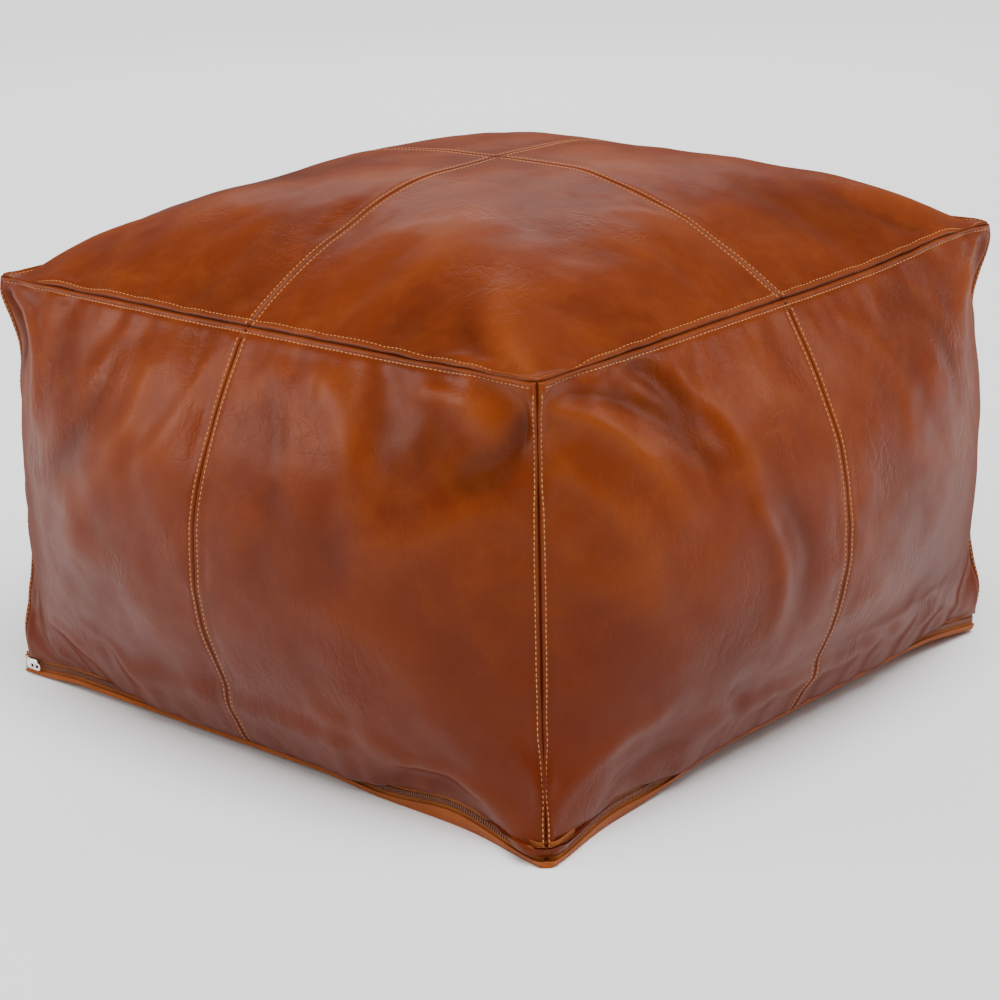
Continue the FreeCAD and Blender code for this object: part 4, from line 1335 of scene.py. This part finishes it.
def tape_material():
    """Woven tape with a fine herringbone."""
    material, ready = start_material("woven_tape")
    if ready:
        return material
    place = object_place(material)
    wave = add_node(material, "ShaderNodeTexWave", Vector=object_place(material, (1, 1, 0.6)), Scale=190.0,
                    Distortion=1.5, Detail=2.0).outputs["Fac"]
    rib = add_node(material, "ShaderNodeTexWave", Vector=object_place(material, (0.02, 0.02, 1)), Scale=260.0,
                   Distortion=0.4).outputs["Fac"]
    wear_and_shade = cloud(material, place, 60, 3)
    weave = calculate(material, "MULTIPLY", wave, rib)
    dark = tuple(part * 0.55 for part in colours().tape)
    base = blend_colour(material, weave, dark, colours().tape)
    base = blend_colour(material, calculate(material, "MULTIPLY", wear_and_shade, 0.4), base,
                        tuple(min(1, part * 1.5) for part in colours().tape))
    normal = relief(material, weave, 0.6, 0.2 * MM)
    shader_of(material, Base_Color=base, Roughness=0.72, Normal=normal, Sheen_Weight=0.08, Sheen_Roughness=0.4,
              Specular_IOR_Level=0.15)
    return material


def coil_material():
    """Nylon of the zip's teeth."""
    material, ready = start_material("coil_nylon")
    if ready:
        return material
    place = object_place(material)
    tint = cloud(material, place, 300, 2)
    base = blend_colour(material, calculate(material, "MULTIPLY", tint, 0.6), colours().coil,
                        tuple(min(1, part * 1.8) for part in colours().coil))
    normal = relief(material, tint, 0.2, 0.05 * MM)
    shader_of(material, Base_Color=base, Roughness=0.38, Normal=normal)
    return material


def thread_material():
    """Twisted, lightly waxed sewing thread."""
    material, ready = start_material("waxed_thread")
    if ready:
        return material
    place = object_place(material)
    twist = add_node(material, "ShaderNodeTexWave", Vector=place, Scale=330.0, Distortion=2.0,
                     Detail=1.0).outputs["Fac"]
    fade = ramp(material, cloud(material, place, 22, 3), 0.35, 0.7)
    dark = tuple(part * 0.55 for part in colours().thread)
    base = blend_colour(material, calculate(material, "MULTIPLY", twist, 0.35), colours().thread, dark)
    base = blend_colour(material, calculate(material, "MULTIPLY", fade, 0.35), base,
                        tuple(min(1, part * 1.25) for part in colours().thread))
    normal = relief(material, twist, 0.5, 0.15 * MM)
    shader_of(material, Base_Color=base, Roughness=0.55, Normal=normal, Sheen_Weight=0.15)
    return material


def metal_material(name, tint, roughness):
    """Plated metal with light handling marks."""
    material, ready = start_material(name)
    if ready:
        return material
    place = object_place(material)
    marks = cloud(material, place, 900, 4, 0.7)
    dull = ramp(material, cloud(material, place, 260, 3), 0.3, 0.75, roughness * 0.8, roughness * 1.5)
    base = blend_colour(material, calculate(material, "MULTIPLY", marks, 0.25), tint,
                        tuple(part * 0.7 for part in tint))
    normal = relief(material, marks, 0.15, 0.05 * MM)
    shader_of(material, Base_Color=base, Metallic=1.0, Roughness=dull, Normal=normal)
    return material


def cotton_material():
    """Plain-woven cotton."""
    material, ready = start_material("plain_cotton")
    if ready:
        return material
    place = object_place(material)
    warp = add_node(material, "ShaderNodeTexWave", Vector=object_place(material, (1, 0.15, 1)), Scale=400.0,
                    Distortion=0.6).outputs["Fac"]
    weft = add_node(material, "ShaderNodeTexWave", Vector=object_place(material, (0.15, 1, 1)), Scale=400.0,
                    Distortion=0.6).outputs["Fac"]
    weave = calculate(material, "MULTIPLY", warp, weft)
    slub = cloud(material, place, 70, 3)
    dark = tuple(part * 0.8 for part in colours().cotton)
    base = blend_colour(material, weave, dark, colours().cotton)
    base = blend_colour(material, calculate(material, "MULTIPLY", slub, 0.3), base, dark)
    normal = relief(material, weave, 0.5, 0.2 * MM)
    shader_of(material, Base_Color=base, Roughness=0.9, Normal=normal, Sheen_Weight=0.2)
    return material


def fibre_material():
    """Loose white fibre."""
    material, ready = start_material("loose_fibre")
    if ready:
        return material
    place = object_place(material)
    tuft = cloud(material, place, 90, 6, 0.75, 1.2)
    dark = tuple(part * 0.78 for part in colours().filling)
    base = blend_colour(material, tuft, dark, colours().filling)
    normal = relief(material, tuft, 0.8, 2.5 * MM)
    shader_of(material, Base_Color=base, Roughness=0.95, Normal=normal, Sheen_Weight=0.3)
    return material


# ---------------------------------------------------------------- studio

CAMERA_PLACE = (1.4727, -1.6553, 0.8639)
CAMERA_YAW = math.radians(131.75)
CAMERA_PITCH = math.radians(-18.08)
CAMERA_ROLL = math.radians(-1.26)
CAMERA_LENS = 96.4
LIGHTS = (
    ("front_left_window", (-1.9, -2.3, 1.30), 1.3, 40),
    ("back_left_glow", (-2.2, 2.4, 1.7), 2.0, 16),
    ("back_right_window", (2.3, 1.9, 1.5), 1.2, 20),
)


SUN_TURN = (math.radians(9), math.radians(17), 0)
SUN_STRENGTH = 5.0
SUN_WIDTH = math.radians(50)


def add_sun():
    """Even light from high in front, which keeps the floor pale and the shadow soft."""
    deselect_all()
    bpy.ops.object.light_add(type="SUN", rotation=SUN_TURN)
    sun = bpy.context.object
    sun.name = "skylight"
    sun.data.energy = SUN_STRENGTH
    sun.data.angle = SUN_WIDTH


def add_light(name, place, size, power):
    deselect_all()
    aim = Vector((0, 0, 0.2)) - Vector(place)
    bpy.ops.object.light_add(type="AREA", location=place, rotation=aim.to_track_quat("-Z", "Y").to_euler())
    light = bpy.context.object
    light.name = name
    light.data.shape = "SQUARE"
    light.data.size = size
    light.data.energy = power


def add_camera():
    """The camera, turned by its yaw, pitch and roll."""
    deselect_all()
    bpy.ops.object.camera_add(location=CAMERA_PLACE)
    camera = bpy.context.object
    camera.data.lens = CAMERA_LENS
    camera.data.sensor_width = 36
    flat = math.cos(CAMERA_PITCH)
    look = Vector((flat * math.cos(CAMERA_YAW), flat * math.sin(CAMERA_YAW), math.sin(CAMERA_PITCH)))
    right = look.cross(Vector((0, 0, 1))).normalized()
    up = right.cross(look)
    rolled_right = right * math.cos(CAMERA_ROLL) + up * math.sin(CAMERA_ROLL)
    rolled_up = up * math.cos(CAMERA_ROLL) - right * math.sin(CAMERA_ROLL)
    turn = Matrix((rolled_right, rolled_up, -look)).transposed()
    camera.matrix_world = Matrix.Translation(CAMERA_PLACE) @ turn.to_4x4()
    bpy.context.scene.camera = camera


def paper_material():
    material, ready = start_material("studio_paper")
    if ready:
        return material
    tooth = cloud(material, object_place(material), 300, 3)
    shader_of(material, Base_Color=(*colours().floor, 1), Roughness=0.9, Specular_IOR_Level=0.2,
              Normal=relief(material, tooth, 0.05, 0.1 * MM))
    return material


class POUF_OT_stage(bpy.types.Operator):
    """Set the studio: paper floor, soft lights and the camera"""

    bl_idname = "pouf.stage"
    bl_label = "Studio"

    def execute(self, context):
        deselect_all()
        bpy.ops.mesh.primitive_plane_add(size=40, location=(0, 0, 0))
        floor = context.object
        rename(floor, "studio_floor")
        give_material(floor, paper_material())
        world = bpy.data.worlds.new("studio")
        world.use_nodes = True
        world.node_tree.nodes["Background"].inputs["Color"].default_value = (1, 1, 1, 1)
        world.node_tree.nodes["Background"].inputs["Strength"].default_value = 0.24
        context.scene.world = world
        for light in LIGHTS:
            add_light(*light)
        add_sun()
        add_camera()
        return {"FINISHED"}


# ---------------------------------------------------------------- panel and registration

STEPS = ("cover", "hem_stitches", "zip", "base", "insert", "stage")


class POUF_PT_panel(bpy.types.Panel):
    """Lists the pouf's sizes, colours and the steps that build it"""

    bl_idname = "POUF_PT_panel"
    bl_label = "Leather Pouf"
    bl_space_type = "VIEW_3D"
    bl_region_type = "UI"
    bl_category = "Pouf"

    def draw(self, context):
        layout = self.layout
        for settings in (context.scene.pouf_sizes, context.scene.pouf_colours):
            for name in settings.__annotations__:
                layout.prop(settings, name)
        for step in STEPS:
            layout.operator("pouf." + step)


CLASSES = (
    PoufSizes,
    PoufColours,
    POUF_OT_cover,
    POUF_OT_hem_stitches,
    POUF_OT_zip,
    POUF_OT_base,
    POUF_OT_insert,
    POUF_OT_stage,
    POUF_PT_panel,
)


def register():
    for item in CLASSES:
        bpy.utils.register_class(item)
    bpy.types.Scene.pouf_sizes = PointerProperty(type=PoufSizes)
    bpy.types.Scene.pouf_colours = PointerProperty(type=PoufColours)


def unregister():
    del bpy.types.Scene.pouf_colours
    del bpy.types.Scene.pouf_sizes
    for item in reversed(CLASSES):
        bpy.utils.unregister_class(item)


def main():
    register()
    for step in STEPS:
        getattr(bpy.ops.pouf, step)()


if __name__ == "__main__":
    main()
